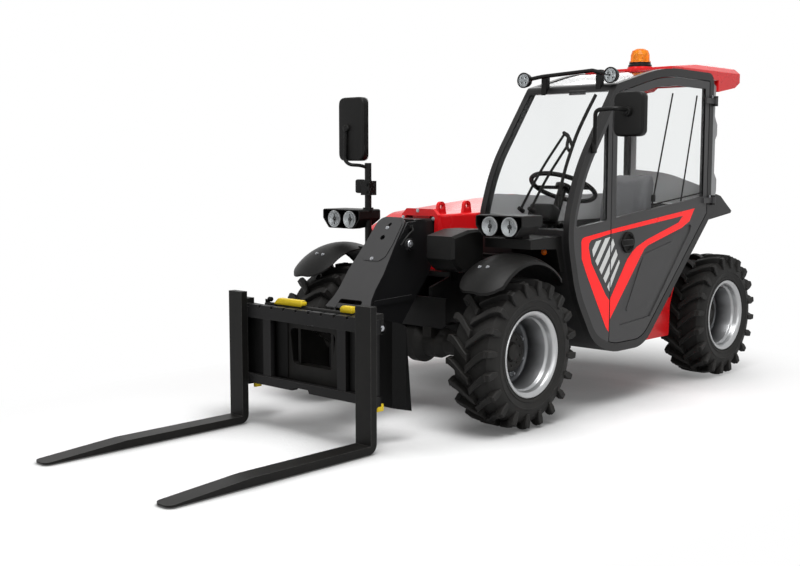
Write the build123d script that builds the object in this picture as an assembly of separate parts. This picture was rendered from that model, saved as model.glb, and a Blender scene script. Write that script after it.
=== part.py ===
from build123d import *
import math
import os

os.makedirs("parts", exist_ok=True)

# Compact telehandler. While it is modelled, x runs forward from mid-wheelbase, y runs left
# from the centreline and z runs up from the ground, all in mm. The export moves the whole
# machine so that the origin is the bottom centre of its bounding box.

# ---------------------------------------------------------------- driving dimensions
WHEELBASE = 2030
HALF_TRACK = 613
TYRE_R = 380
TYRE_W = 264
TREAD_DEPTH = 32
LUGS_PER_SIDE = 20
BEAD_R = 197
RIM_W = 240
RIM_FLANGE_R = 214
RIM_DISC_Y = -44
HUB_R = 104
HUB_OUT = 2
KINGPIN_Y = 500
KINGPIN_R = 24
AXLE_R = 62

RAIL_IN = 120
RAIL_OUT = 138
RAIL_BOTTOM = TYRE_R - 80
RAIL_TOP = 740
AXLE_SEAT = TYRE_R + 90

BOOM_HALF_W = 115
BOOM_BOTTOM = 800
BOOM_TOP = 1060
BOOM_WALL = 10
BOOM_FRONT = 1028
KEEPER_T = 12
BOOM_PIVOT_X = -1060
BOOM_PIVOT_Z = 930
BOOM_TAIL = 1160
INNER_GAP = 12
INNER_WALL = 10
INNER_TAIL_X = -930
PIVOT_PIN_R = 30

HEAD_HALF_W = 104
HEAD_PLATE = 10
NOSE_FOOT = (1574, 615)
NOSE_HEAD = (1250, 1040)
NOSE_PLATE = 12
COUPLER_PIN_X = 1560
COUPLER_PIN_Z = 330
COUPLER_PIN_R = 25
TILT_TOP_X = 1240
TILT_TOP_Z = 912
TILT_ROD_X = 1600
TILT_ROD_Z = 450

LIFT_BASE_X = 300
LIFT_BASE_Z = 420
LIFT_EYE_X = -560
LIFT_EYE_Z = 742

FORK_Y = 458
FORK_W = 100
FORK_T = 38
FORK_BOTTOM = 6
FORK_TOP = 683
APRON_X = 1800
APRON_T = 22
CARRIAGE_GAP = 33
CARRIAGE_X = APRON_X + APRON_T + CARRIAGE_GAP
CARRIAGE_T = 36
FORK_FACE_X = CARRIAGE_X + CARRIAGE_T + 2 + FORK_T
FORK_TIP_X = FORK_FACE_X + 1110
CARRIAGE_HALF_W = 500
CHEEK_Y = 446
BAR_UPPER_Z = (552, 620)
BAR_LOWER_Z = (217, 262)

CAB_IN = 143
CAB_OUT = 735
CAB_RING_T = 35
CAB_BAND = 45
DOOR_FRONT_X = 314
DOOR_GAP = 5
DOOR_T = 30
DOOR_BAND = 44
PRESSING = 7
HANDLE_AT = (152, 897)
QUARTER_BAND = 24
CAB_REAR_X = -782
HINGE_X = -790
HINGE_Y = 748
HINGE_Z = (1699, 1106)
SILL_FRONT = (274, 1033)
SILL_REAR = (-574, 1118)
GLASS_T = 6
HEADER_X = 236
HEADER_Z = 1712
TUB_TOP = 1000

HOOD_OUT = -735
HOOD_IN = -165
HOOD_WALL = 12
HOOD_REAR_X = -640
HOOD_BOTTOM = 575
HOOD_HINGE_Z = 1112

ROOF_T = 18
ROOF_REAR_X = -1118
ROOF_FRONT_X = -285

BEACON_X = -406
BEACON_Y = 450
BEACON_Z = 1893
BEACON_R = 68

WEIGHT_HALF_W = 268
HITCH_PIN_X = -1432
HITCH_PIN_R = 13
HITCH_Z = 452
EYE_X = (757, 970)
EYE_Y = 88
EYE_HOLE_Z = 38
EYE_R = 28
EYE_HOLE_R = 14

RUN = 5
SEAT_GAP = 0.3
REACH = 3000

parts = {}

REAR_GLASS_X = -846
FENDER_X = 1024
FENDER_Z = TYRE_R + 122
FENDER_R = TYRE_R
FENDER_T = 6
FENDER_IN = 470
FENDER_OUT = 748
FENDER_REACH = 314
LAMP_DEPTH = 62


# ---------------------------------------------------------------- shape helpers
def box(x0, x1, y0, y1, z0, z1):
    return Pos((x0 + x1) / 2, (y0 + y1) / 2, (z0 + z1) / 2) * Box(x1 - x0, y1 - y0, z1 - z0)


def outline(points, radius=0):
    face = make_face(Polyline(*points, close=True))
    return fillet(face.vertices(), radius) if radius else face


def side_plate(face, y0, y1):
    """Extrude a face drawn in x and z from y0 to y1."""
    return extrude(Plane.XZ.offset(-y1) * face, amount=y1 - y0)


def cross_plate(face, x0, x1):
    """Extrude a face drawn in y and z from x0 to x1."""
    return extrude(Plane.YZ.offset(x0) * face, amount=x1 - x0)


def flat_plate(face, z0, z1):
    """Extrude a face drawn in x and y from z0 to z1."""
    return extrude(Plane.XY.offset(z0) * face, amount=z1 - z0)


def pin_y(x, z, y0, y1, radius):
    return Pos(x, (y0 + y1) / 2, z) * Rot(90, 0, 0) * Cylinder(radius, y1 - y0)


def pin_x(y, z, x0, x1, radius):
    return Pos((x0 + x1) / 2, y, z) * Rot(0, 90, 0) * Cylinder(radius, x1 - x0)


def post(x, y, z0, z1, radius):
    return Pos(x, y, (z0 + z1) / 2) * Cylinder(radius, z1 - z0)


def bar(points, corner, radius):
    """Round bar along straight runs joined by arcs."""
    path = FilletPolyline(*points, radius=corner)
    return sweep(Plane(path @ 0, z_dir=path % 0) * Circle(radius), path=path)


def both_sides(shape):
    return shape + mirror(shape, about=Plane.XZ)


def wheel_ring(points):
    """Revolve a section drawn in y and radius about the wheel's axle."""
    return revolve(Plane.YZ * outline(points), axis=Axis.Y)


# ---------------------------------------------------------------- wheels and axles
def make_tyre():
    """Field tyre: carcass with chevron lugs out to the shoulders."""
    half = TYRE_W / 2
    base = TYRE_R - TREAD_DEPTH
    bead = BEAD_R + SEAT_GAP
    side = base - bead
    half_section = [(half - 25, bead), (half - 21, bead + 0.13 * side), (half - 8, bead + 0.23 * side),
                    (half - 2, bead + 0.43 * side), (half - 9, bead + 0.72 * side), (half - 26, base - 8)]
    section = half_section + [(0, base)] + [(-y, r) for y, r in reversed(half_section)]
    carcass = wheel_ring(section)
    crown = [(half - 10, base - 52), (half, TYRE_R - 56), (half, TYRE_R - 18), (half - 8, TYRE_R - 8),
             (half - 84, TYRE_R)]
    envelope = wheel_ring(crown + [(-y, r) for y, r in reversed(crown)])
    front_edge = [(58, -7), (18, 42), (-22, 94), (-32, 140)]
    rear_edge = [(-66, 140), (-54, 86), (-14, 30), (24, -7)]
    footprint = make_face(Polyline(*front_edge, *rear_edge, close=True))
    left = flat_plate(footprint, base - 14, TYRE_R + 20) & envelope
    right = mirror(left, about=Plane.XZ)
    pitch = 360 / LUGS_PER_SIDE
    lugs = [Rot(0, i * pitch, 0) * left for i in range(LUGS_PER_SIDE)]
    lugs += [Rot(0, (i + 0.5) * pitch, 0) * right for i in range(LUGS_PER_SIDE)]
    return carcass.fuse(*lugs)


def make_rim():
    """Deep-dished rim, its disc and the wheel hub, outboard towards +y."""
    half = RIM_W / 2
    wall = [(half, RIM_FLANGE_R), (half - 7, RIM_FLANGE_R), (half - 12, BEAD_R), (56, BEAD_R - 8),
            (40, BEAD_R - 34), (-60, BEAD_R - 34), (-76, BEAD_R - 8), (12 - half, BEAD_R),
            (7 - half, RIM_FLANGE_R), (-half, RIM_FLANGE_R), (-half, BEAD_R - 8), (-82, BEAD_R - 18),
            (-66, BEAD_R - 43), (46, BEAD_R - 43), (60, BEAD_R - 18), (half, BEAD_R - 6)]
    disc = [(RIM_DISC_Y, HUB_R - 6), (RIM_DISC_Y, BEAD_R - 38), (RIM_DISC_Y + 12, BEAD_R - 38),
            (RIM_DISC_Y + 12, HUB_R - 6)]
    hub = [(RIM_DISC_Y - 14, 0), (RIM_DISC_Y - 14, HUB_R), (HUB_OUT - 10, HUB_R), (HUB_OUT, HUB_R - 14),
           (HUB_OUT, 46), (HUB_OUT + 22, 40), (HUB_OUT + 22, 0)]
    return wheel_ring(wall) + wheel_ring(disc) + wheel_ring(hub)


def make_knuckle():
    """Steering knuckle of the left side: king pin housing and stub axle."""
    inner = KINGPIN_Y - HALF_TRACK
    stub_end = RIM_DISC_Y - 14 - SEAT_GAP
    housing = post(0, inner, -80, 80, 46)
    stub = pin_y(0, 0, inner, stub_end, 62) + pin_y(0, 0, inner + 46, stub_end, 78)
    arm = box(-165, 0, inner - 14, inner + 14, -16, 16)
    bore = post(0, inner, -81, 81, KINGPIN_R + 0.05)
    return housing + stub + arm - bore


def make_axle(x):
    """Driving axle with its differential, end yokes and king pins."""
    inner_end = KINGPIN_Y - 60
    tube = pin_y(x, TYRE_R, 10 - inner_end, inner_end - 10, AXLE_R)
    half_section = [(RAIL_OUT + 60, AXLE_R - 1), (RAIL_OUT + 6, 84), (70, 84), (30, 118)]
    section = [(y, r) for y, r in half_section] + [(-y, r) for y, r in reversed(half_section)]
    section = [(RAIL_OUT + 60, 0)] + section + [(-RAIL_OUT - 60, 0)]
    housing = Pos(x, 0, TYRE_R) * wheel_ring(section)
    nose_end = x - math.copysign(170, x)
    nose = pin_x(0, TYRE_R, min(x, nose_end), max(x, nose_end), 66)
    yoke = box(x - 44, x + 44, inner_end - 20, inner_end + 2, TYRE_R - 112, TYRE_R + 112)
    for side in (-1, 1):
        z0 = TYRE_R + side * 98 - 14
        yoke += box(x - 42, x + 42, inner_end, KINGPIN_Y, z0, z0 + 28) + post(x, KINGPIN_Y, z0, z0 + 28, 42)
    king_pin = post(x, KINGPIN_Y, TYRE_R - 98, TYRE_R + 98, KINGPIN_R)
    seat = box(x - 110, x + 110, RAIL_IN - 20, RAIL_OUT + 20, TYRE_R + 40, AXLE_SEAT)
    return tube + housing + nose + both_sides(yoke + king_pin + seat)


tyre = make_tyre()
rim = make_rim()
knuckle = make_knuckle()
corners = [("front_left", WHEELBASE / 2, 1), ("front_right", WHEELBASE / 2, -1),
           ("rear_left", -WHEELBASE / 2, 1), ("rear_right", -WHEELBASE / 2, -1)]
for name, x, side in corners:
    place = Pos(x, side * HALF_TRACK, TYRE_R)
    parts["tyre_" + name] = place * tyre
    parts["rim_" + name] = place * (rim if side > 0 else mirror(rim, about=Plane.XZ))
    parts["knuckle_" + name] = place * (knuckle if side > 0 else mirror(knuckle, about=Plane.XZ))
parts["front_axle"] = make_axle(WHEELBASE / 2)
parts["rear_axle"] = make_axle(-WHEELBASE / 2)

# ---------------------------------------------------------------- chassis
rail_face = outline([(-1200, AXLE_SEAT), (-760, AXLE_SEAT), (-640, RAIL_BOTTOM), (640, RAIL_BOTTOM),
                     (760, AXLE_SEAT), (1100, AXLE_SEAT), (1100, 680), (900, RAIL_TOP), (-850, RAIL_TOP),
                     (-950, 1020), (-1130, 1020), (-1200, 900)])
rail = side_plate(rail_face, RAIL_IN, RAIL_OUT)
rail -= pin_y(BOOM_PIVOT_X, BOOM_PIVOT_Z, 0, 200, PIVOT_PIN_R + 0.05)
belly = box(-640, 640, -RAIL_IN, RAIL_IN, RAIL_BOTTOM, RAIL_BOTTOM + 14)
front_plate = cross_plate(outline([(-250, 490), (-225, 470), (225, 470), (250, 490), (250, 630),
                                   (-250, 630)]), 1100, 1116)
front_box = box(1000, 1100, -RAIL_IN, RAIL_IN, AXLE_SEAT + 30, AXLE_SEAT + 45)
front_box += box(1000, 1012, -RAIL_IN, RAIL_IN, AXLE_SEAT + 45, RAIL_TOP - 140)
rear_plate = box(-1200, -1186, -RAIL_IN, RAIL_IN, AXLE_SEAT, 780)
lift_base = pin_y(LIFT_BASE_X, LIFT_BASE_Z, -RAIL_IN, RAIL_IN, 25)
lift_stop = box(820, 880, -RAIL_IN, RAIL_IN, RAIL_TOP - 30, RAIL_TOP)
cab_pads = box(-200, -100, RAIL_OUT, CAB_IN - SEAT_GAP, 450, 650)
cab_pads += box(400, 500, RAIL_OUT, CAB_IN - SEAT_GAP, 450, 650)
parts["chassis"] = both_sides(rail) + belly + front_plate + front_box + rear_plate + lift_base
parts["chassis"] += lift_stop
parts["chassis"] += cab_pads

rear_low = box(-1400, -1200, 70 - WEIGHT_HALF_W, WEIGHT_HALF_W - 70, 430, 795)
rear_high = box(-1400, -1200, -WEIGHT_HALF_W, WEIGHT_HALF_W, 795, 1000)
rear_edges = (rear_low + rear_high).edges().filter_by(Axis.Z).group_by(Axis.X)[0]
boom_slot = box(-1240, -1199, -BOOM_HALF_W - RUN, BOOM_HALF_W + RUN, 780, 1001)
parts["counterweight"] = fillet(rear_edges, 50) - boom_slot

hitch_plate = flat_plate(outline([(-1400, -70), (-1400, 70), (-1455, 40), (-1455, -40)]), 0, 18)
hitch = Pos(0, 0, HITCH_Z) * hitch_plate + Pos(0, 0, HITCH_Z + 68) * hitch_plate
hitch += box(-1412, -1400, -70, 70, HITCH_Z, HITCH_Z + 86)
parts["tow_hitch"] = hitch - post(HITCH_PIN_X, 0, HITCH_Z - 50, HITCH_Z + 150, HITCH_PIN_R)

engine = box(-130, 420, -640, -260, 420, 880)
parts["engine_block"] = chamfer(engine.edges().filter_by(Axis.X), 30)

# ---------------------------------------------------------------- cab
cab_corners = [(-782, 1862, 60), (-199, 1868, 1500), (283, 1750, 45), (620, 1310, 900), (736, 985, 450),
               (645, 640, 600), (474, 375, 250), (290, 302, 400), (-42, 300, 250), (-782, 1009, 60)]


def inset_outline(corners, inset=0):
    """Convex outline of x, z and corner radius, listed clockwise, moved inwards by inset."""
    points = []
    count = len(corners)
    for i in range(count):
        here = Vector(corners[i][0], corners[i][1])
        into = (here - Vector(corners[i - 1][0], corners[i - 1][1])).normalized()
        after = corners[(i + 1) % count]
        out = (Vector(after[0], after[1]) - here).normalized()
        normal_in = Vector(into.Y, -into.X)
        normal_out = Vector(out.Y, -out.X)
        moved = here + (normal_in + normal_out) * (inset / (1 + normal_in.dot(normal_out)))
        points.append((moved.X, moved.Y))
    radii = [max(corner[2] - inset, 2) for corner in corners]
    return make_face(FilletPolyline(*points, radius=radii, close=True))


cab_face = inset_outline(cab_corners)
cab_inner = inset_outline(cab_corners, CAB_BAND)
door_face = inset_outline(cab_corners, CAB_BAND + DOOR_GAP)


def window_region(x0, x1, z0, z1):
    """Rectangle in x and z as a face."""
    return Pos((x0 + x1) / 2, (z0 + z1) / 2) * Rectangle(x1 - x0, z1 - z0)


sill_slope = (SILL_REAR[1] - SILL_FRONT[1]) / (SILL_REAR[0] - SILL_FRONT[0])


def sill_z(x):
    return SILL_FRONT[1] + sill_slope * (x - SILL_FRONT[0])


above_sill = outline([(-REACH, sill_z(-REACH)), (REACH, sill_z(REACH)), (REACH, 2 * REACH),
                      (-REACH, 2 * REACH)])
front_of_split = window_region(DOOR_FRONT_X + DOOR_GAP + 3, REACH, 0, REACH)
behind_split = window_region(-REACH, DOOR_FRONT_X, 0, REACH)

door_shape = door_face & behind_split
door_window = inset_outline(cab_corners, CAB_BAND + DOOR_GAP + DOOR_BAND) & above_sill
door_window = door_window & window_region(-REACH, DOOR_FRONT_X - DOOR_BAND, 0, REACH)
quarter_shape = cab_inner & front_of_split
quarter_window = inset_outline(cab_corners, CAB_BAND + QUARTER_BAND) & above_sill
quarter_window = quarter_window & window_region(DOOR_FRONT_X + DOOR_GAP + QUARTER_BAND + 15, REACH, 0, REACH)

ring = cab_face - cab_inner
post_strip = cab_inner & window_region(DOOR_FRONT_X + DOOR_GAP + 3, DOOR_FRONT_X + DOOR_GAP + 33, 0, REACH)
ring_in = CAB_OUT - CAB_RING_T
left_ring = side_plate(ring, ring_in, CAB_OUT) + side_plate(post_strip, ring_in, CAB_OUT - DOOR_T)
right_ring = side_plate(ring & window_region(-REACH, REACH, TUB_TOP, REACH), CAB_IN, CAB_IN + CAB_RING_T)
members = [(HEADER_X, 310, HEADER_Z, 1760), (-782, -737, 1800, 1850), (-782, -737, 1030, 1080)]
cross = box(-782, -737, CAB_IN + 1, ring_in, 1020, 1070)
for x0, x1, z0, z1 in members:
    cross += box(x0, x1, CAB_IN + CAB_RING_T - 10, ring_in + 2, z0, z1)
cab_block = side_plate(cab_face, CAB_IN, CAB_OUT)
cross = cross & cab_block
for z in HINGE_Z:
    for z0 in (z - 30, z + 16.5):
        cross += box(HINGE_X - 10, HINGE_X + 14, CAB_OUT - 20, HINGE_Y, z0, z0 + 13.5)
        cross += post(HINGE_X, HINGE_Y, z0, z0 + 13.5, 11)
    cross += post(HINGE_X, HINGE_Y, z - 20, z + 20, 5)
parts["cab_frame"] = left_ring + right_ring + cross

wall_band = (cab_face - inset_outline(cab_corners, 18)) & window_region(-REACH, REACH, 0, TUB_TOP - 15)
tub_wall = side_plate(wall_band, CAB_IN, ring_in)
right_wall = side_plate(cab_face & window_region(-REACH, REACH, 0, TUB_TOP), CAB_IN, CAB_IN + 18)
dash = side_plate(outline([(700, 982), (560, 984), (500, 950), (560, 760), (690, 700)], 20), CAB_IN + 18,
                  ring_in - 30)
dash = dash & cab_block
seat_box = box(-200, 160, 280, 620, 292, 620) & cab_block
parts["cab_tub"] = tub_wall + right_wall + dash + seat_box

parts["quarter_panel"] = side_plate(quarter_shape - quarter_window, CAB_OUT - DOOR_T + 2, CAB_OUT - 2)
quarter_glass = side_plate(quarter_window, CAB_OUT - 16, CAB_OUT - 16 + GLASS_T)
right_opening = cab_inner & window_region(-REACH, REACH, TUB_TOP, REACH)
right_glass = side_plate(right_opening, CAB_IN + 14, CAB_IN + 14 + GLASS_T)
parts["side_glass"] = quarter_glass + right_glass

screen_band = inset_outline(cab_corners, 4) - inset_outline(cab_corners, 4 + GLASS_T)
screen_band = screen_band & window_region(260, REACH, TUB_TOP - 15 + SEAT_GAP, HEADER_Z - SEAT_GAP)
roof_band = inset_outline(cab_corners, 4) - inset_outline(cab_corners, 4 + GLASS_T)
roof_band = roof_band & window_region(ROOF_FRONT_X - 40, HEADER_X - SEAT_GAP, HEADER_Z, REACH)
windshield = side_plate(screen_band, CAB_IN + CAB_RING_T, ring_in)
parts["windshield"] = windshield + side_plate(roof_band, CAB_IN + CAB_RING_T, ring_in)
rear_glass_out = CAB_OUT - 22
rear_pane = box(REAR_GLASS_X, REAR_GLASS_X + GLASS_T, CAB_IN + CAB_RING_T, rear_glass_out, 1080, 1826)
for y in (CAB_IN + CAB_RING_T, rear_glass_out - GLASS_T):
    rear_pane += box(REAR_GLASS_X, CAB_REAR_X - SEAT_GAP, y, y + GLASS_T, 1080, 1826)
parts["rear_window"] = rear_pane

roof_ridge = [(ROOF_FRONT_X, 1878), (-560, 1902), (-820, 1930), (-1040, 1944), (ROOF_REAR_X, 1915)]
roof_tail = [(ROOF_REAR_X, 1824), (-1056, 1790), (REAR_GLASS_X - 4, 1757), (CAB_REAR_X - 22, 1826)]
roof_front = [(-560, 1840), (ROOF_FRONT_X, 1840)]
roof = side_plate(outline(roof_ridge + roof_tail + roof_front) - cab_face, CAB_IN + 4, CAB_OUT - 4)
crown_face = outline([(CAB_IN + 4, 1700), (CAB_OUT - 4, 1700), (CAB_OUT - 4, 1878), (CAB_OUT - 40, 1908),
                      (CAB_OUT - 190, 1948), (CAB_IN + 190, 1948), (CAB_IN + 40, 1908), (CAB_IN + 4, 1878)])
roof = roof & cross_plate(crown_face, -1200, 300)
tail_hollow = outline([(REAR_GLASS_X - 60, 1700), (REAR_GLASS_X - 20, 1880), (ROOF_REAR_X + ROOF_T, 1880),
                       (ROOF_REAR_X + ROOF_T, 1700)])
roof -= side_plate(tail_hollow, CAB_IN + 4 + ROOF_T, CAB_OUT - 4 - ROOF_T)
roof -= box(REAR_GLASS_X - 60, CAB_REAR_X, CAB_IN + 4 + ROOF_T, CAB_OUT - 4 - ROOF_T, 1700, 1862)
roof -= box(REAR_GLASS_X - SEAT_GAP, CAB_REAR_X, CAB_IN, CAB_OUT, 1700, 1826 + SEAT_GAP)
beacon_room = post(BEACON_X, BEACON_Y, BEACON_Z, BEACON_Z + 60, BEACON_R + 7)
parts["roof"] = roof + post(BEACON_X, BEACON_Y, BEACON_Z - 23, BEACON_Z, BEACON_R + 6) - beacon_room

cushion = fillet(box(-250, 210, 260, 640, 620.3, 740).edges().filter_by(Axis.Z), 60)
backrest = side_plate(outline([(-265, 690), (-150, 690), (-250, 1250), (-290, 1290), (-350, 1280),
                               (-370, 1240)]), 270, 630)
parts["seat"] = cushion + backrest
wheel_centre = Pos(335, 430, 1195) * Rot(0, -26, 0)
column = wheel_centre * Pos(0, 0, -222) * Cylinder(24, 440) - dash
steer_ring = wheel_centre * Torus(180, 13)
spokes = wheel_centre * Box(30, 350, 8) + wheel_centre * Pos(-88, 0) * Box(176, 30, 8)
hub = wheel_centre * Pos(0, 0, 4) * Cylinder(44, 20)
parts["steering_wheel"] = steer_ring + spokes + hub + column

beacon_section = [(0, 0), (BEACON_R, 0), (BEACON_R, 12), (BEACON_R - 6, 16), (BEACON_R - 6, 34),
                  (BEACON_R - 12, 36),
                  (BEACON_R - 13, 72), (BEACON_R - 22, 96), (BEACON_R - 40, 106), (0, 107)]
beacon = revolve(Plane.XZ * outline(beacon_section), axis=Axis.Z)
parts["beacon"] = Pos(BEACON_X, BEACON_Y, BEACON_Z) * beacon

# ---------------------------------------------------------------- door
door_in = CAB_OUT - DOOR_T
door = side_plate(door_shape - door_window, door_in, CAB_OUT - 2)
for z in HINGE_Z:
    door += box(-726, -680, CAB_OUT - 2, CAB_OUT + 3, z - 16, z + 16)
    door += box(HINGE_X, -680, CAB_OUT + 2, CAB_OUT + 9, z - 16, z + 16)
    door += post(HINGE_X, HINGE_Y, z - 16, z + 16, 11)
    door -= post(HINGE_X, HINGE_Y, z - 17, z + 17, 5.05)
pressing = outline([(-66, 869), (-438, 962), (-556, 970), (-541, 924), (-105, 463), (224, 441), (192, 556)],
                   12)
raised = outline([(-360, 880), (-72, 545), (150, 510), (-30, 820)], 10)
door -= side_plate(pressing & door_shape, CAB_OUT - 2 - PRESSING, CAB_OUT)
door += side_plate(raised, CAB_OUT - 3 - PRESSING, CAB_OUT - 5)
handle_cup = pin_y(*HANDLE_AT, CAB_OUT - 3, CAB_OUT + 8, 58) - pin_y(*HANDLE_AT, CAB_OUT, CAB_OUT + 9, 47)
paddle = box(HANDLE_AT[0] - 42, HANDLE_AT[0] + 70, CAB_OUT - 3, CAB_OUT + 14, HANDLE_AT[1] - 17,
             HANDLE_AT[1] + 17)
parts["door"] = door + handle_cup + chamfer(paddle.edges().filter_by(Axis.Y), 8)
parts["door_glass"] = side_plate(door_window, CAB_OUT - 16, CAB_OUT - 16 + GLASS_T)

# ---------------------------------------------------------------- hood and side boxes
hood_corners = [(HOOD_REAR_X, 1106, 20), (-336, 1098, 300), (224, 1051, 300), (470, 1030, 200),
                (712, 930, 40), (700, 860, 200), (628, 655, 300), (588, HOOD_BOTTOM, 10),
                (-352, HOOD_BOTTOM, 30), (HOOD_REAR_X, 858, 20)]
pod_face = cab_face & window_region(-REACH, REACH, 0, HOOD_BOTTOM - RUN)
pod_hollow = inset_outline(cab_corners, 14) & window_region(-REACH, REACH, 0, HOOD_BOTTOM + 10)
pod = side_plate(pod_face, HOOD_OUT, HOOD_IN) - side_plate(pod_hollow, HOOD_OUT + 14, HOOD_IN + 1)
for x in (-60, 300):
    pod += box(x, x + 50, HOOD_IN - 10, -RAIL_OUT - SEAT_GAP, RAIL_BOTTOM - 6, RAIL_BOTTOM + 20)
    pod += box(x, x + 50, -600, -300, 300, 420 - SEAT_GAP)
parts["side_pod"] = pod
hood = side_plate(inset_outline(hood_corners), HOOD_OUT, HOOD_IN)
hood -= side_plate(inset_outline(hood_corners, HOOD_WALL), HOOD_OUT + HOOD_WALL, HOOD_IN + 1)
hood -= box(HOOD_REAR_X + HOOD_WALL, 560, HOOD_OUT + HOOD_WALL, HOOD_IN + 1, HOOD_BOTTOM - 1, 846)
for i in range(9):
    vent = Pos(-40 + i * 44, 800) * Rot(0, 0, 20) * SlotOverall(150, 18, rotation=90)
    hood -= side_plate(vent, HOOD_OUT - 1, HOOD_OUT + HOOD_WALL + 1)
hood_hinge_x = HOOD_REAR_X - RUN / 2
for y in (-700, -300):
    hood += pin_y(hood_hinge_x, HOOD_HINGE_Z, y, y + 45, 7)
    hood += box(hood_hinge_x, hood_hinge_x + 40, y, y + 45, 1102, 1108)
parts["hood"] = hood
cover_x = HOOD_REAR_X - RUN
cover_face = outline([(cover_x, 850), (cover_x, 1104), (-1150, 1090), (-1190, 1040), (-1190, 850)])
cover = side_plate(cover_face, HOOD_OUT + 20, -RAIL_OUT - 20)
cover += box(-1000, -950, -RAIL_OUT - 22, -RAIL_OUT - SEAT_GAP, 860, 900)
for y in (-700, -300):
    cover += pin_y(hood_hinge_x, HOOD_HINGE_Z, y + 45.5, y + 80, 7)
    cover += box(hood_hinge_x - 40, hood_hinge_x, y + 45.5, y + 80, 1100, 1108)
parts["rear_cover"] = cover

tank_face = outline([(-640, 662), (-560, 471), (-555, 290), (-270, 290), (-270, 470), (-440, 640)], 16)
filler = Pos(-500, 600, 560) * Rot(90, 0, 0) * Cylinder(38, 24)
parts["side_tank"] = side_plate(tank_face, RAIL_OUT, 600) + filler

# ---------------------------------------------------------------- fenders, lamps, mirrors
crown_out = ThreePointArc((FENDER_IN, FENDER_R - 34), (600, FENDER_R), (FENDER_OUT - 8, FENDER_R - 36))
crown_in = ThreePointArc((FENDER_OUT - 14, FENDER_R - 42), (600, FENDER_R - FENDER_T),
                         (FENDER_IN, FENDER_R - 40))
lip = Polyline((FENDER_OUT - 8, FENDER_R - 36), (FENDER_OUT, FENDER_R - 50), (FENDER_OUT - 6, FENDER_R - 53),
               (FENDER_OUT - 14, FENDER_R - 42))
fender_section = make_face(crown_out + lip + crown_in + Line((FENDER_IN, FENDER_R - 40),
                                                             (FENDER_IN, FENDER_R - 34)))
fender_profile = Plane.YZ * fender_section
fender = Pos(FENDER_X, 0, FENDER_Z) * Rot(0, -60, 0) * revolve(fender_profile, axis=Axis.Y,
                                                               revolution_arc=120)
plan = Pos(FENDER_X, (FENDER_IN + FENDER_OUT) / 2) * RectangleRounded(2 * FENDER_REACH,
                                                                      FENDER_OUT - FENDER_IN + 4, 118)
fender = fender & flat_plate(plan, FENDER_Z, FENDER_Z + FENDER_R + 20)
left_fender = fender + box(900, 960, RAIL_OUT, 500, 847, 861)
left_fender += box(900, 960, RAIL_OUT + SEAT_GAP, RAIL_OUT + 14, 700, 861)
right_fender = fender + box(950, 1010, RAIL_OUT, 500, 847, 861)
right_fender += box(950, 1010, RAIL_OUT + SEAT_GAP, RAIL_OUT + 14, 690, 861)
parts["front_fenders"] = left_fender + mirror(right_fender, about=Plane.XZ)


def work_lamps(x, y, z):
    """Twin lamps in an open box with chamfered corners under a folded visor, facing forward."""
    half = 147
    wall = 5
    front = outline([(-half, 58), (half, 58), (half, 6), (half - 48, -50), (48 - half, -50), (-half, 6)], 12)
    profile = outline([(-168, 62), (-168, 0), (-138, -36), (-40, -52), (0, -52), (0, 62)], 12)
    body = cross_plate(front, -168, 0) & side_plate(profile, -half, half)
    opening = outline([(wall - half, 58 - wall), (half - wall, 58 - wall), (half - wall, 6),
                       (half - 50, wall - 50),
                       (50 - half, wall - 50), (wall - half, 6)], 8)
    body -= cross_plate(opening, -LAMP_DEPTH, 1)
    for side in (-1, 1):
        body += pin_x(side * 62, 2, -LAMP_DEPTH - 1, -12, 47)
    return Pos(x, y, z) * body


left_stalk = box(895, 955, 500, 620, 950.9, 985)
right_stalk = post(985, -440, 861 + SEAT_GAP, 1330, 19)
clamp = box(955, 1012, -472, -404, 1150, 1230) + post(985, -440, 1062, 1080, 30)
parts["front_lamps"] = work_lamps(1079, 564, 1012) + left_stalk
parts["front_lamps"] += work_lamps(1079, -564, 1012) + right_stalk + clamp

cowl_face = outline([(480, 770), (720, 770), (760, 890), (980, 900), (980, 948), (720, 956), (480, 940)])
cowl = side_plate(cowl_face - cab_face, 400, 690)
cowl += box(690, 1040, RAIL_OUT + SEAT_GAP, 420, 768, 780) - cab_block - box(895, 965, 100, 157, 700, 900)
locker_face = outline([(971, 779), (1150, 779), (1183, 798), (1222, 846), (1222, 962), (1090, 991),
                       (971, 991)])
locker = side_plate(locker_face, 215, 390)
locker_top = locker.faces().sort_by(Axis.Y)[-1]
cowl += chamfer(locker_top.edges(), 14)
cowl += box(700, 780, RAIL_OUT + SEAT_GAP, RAIL_OUT + 14, 700, 770)
parts["front_cowl"] = cowl


def mirror_head(x, y0, y1, z0, z1):
    """Rounded mirror housing with a domed back towards +x and a flat glass side."""
    plate = Pos((y0 + y1) / 2, (z0 + z1) / 2) * RectangleRounded(y1 - y0, z1 - z0, 34)
    head = cross_plate(plate, x - 30, x + 14)
    return chamfer(head.faces().sort_by(Axis.X)[-1].edges(), 14)


left_arm = bar([(512, 748, 1428), (575, 790, 1600), (552, 905, 1606), (482, 915, 1600)], 30, 11)
left_mirror = mirror_head(450, 823, 1001, 1465, 1694) + left_arm
left_mirror += pin_x(912, 1590, 455, 490, 26) + box(492, 528, CAB_OUT + SEAT_GAP, CAB_OUT + 14, 1380, 1470)
right_arm = post(985, -440, 1330.3, 1600, 14) + pin_x(-440, 1540, 985, 1030, 20)
right_mirror = mirror_head(1050, -600, -403, 1341, 1694) + right_arm
parts["mirrors"] = left_mirror + right_mirror

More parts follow.
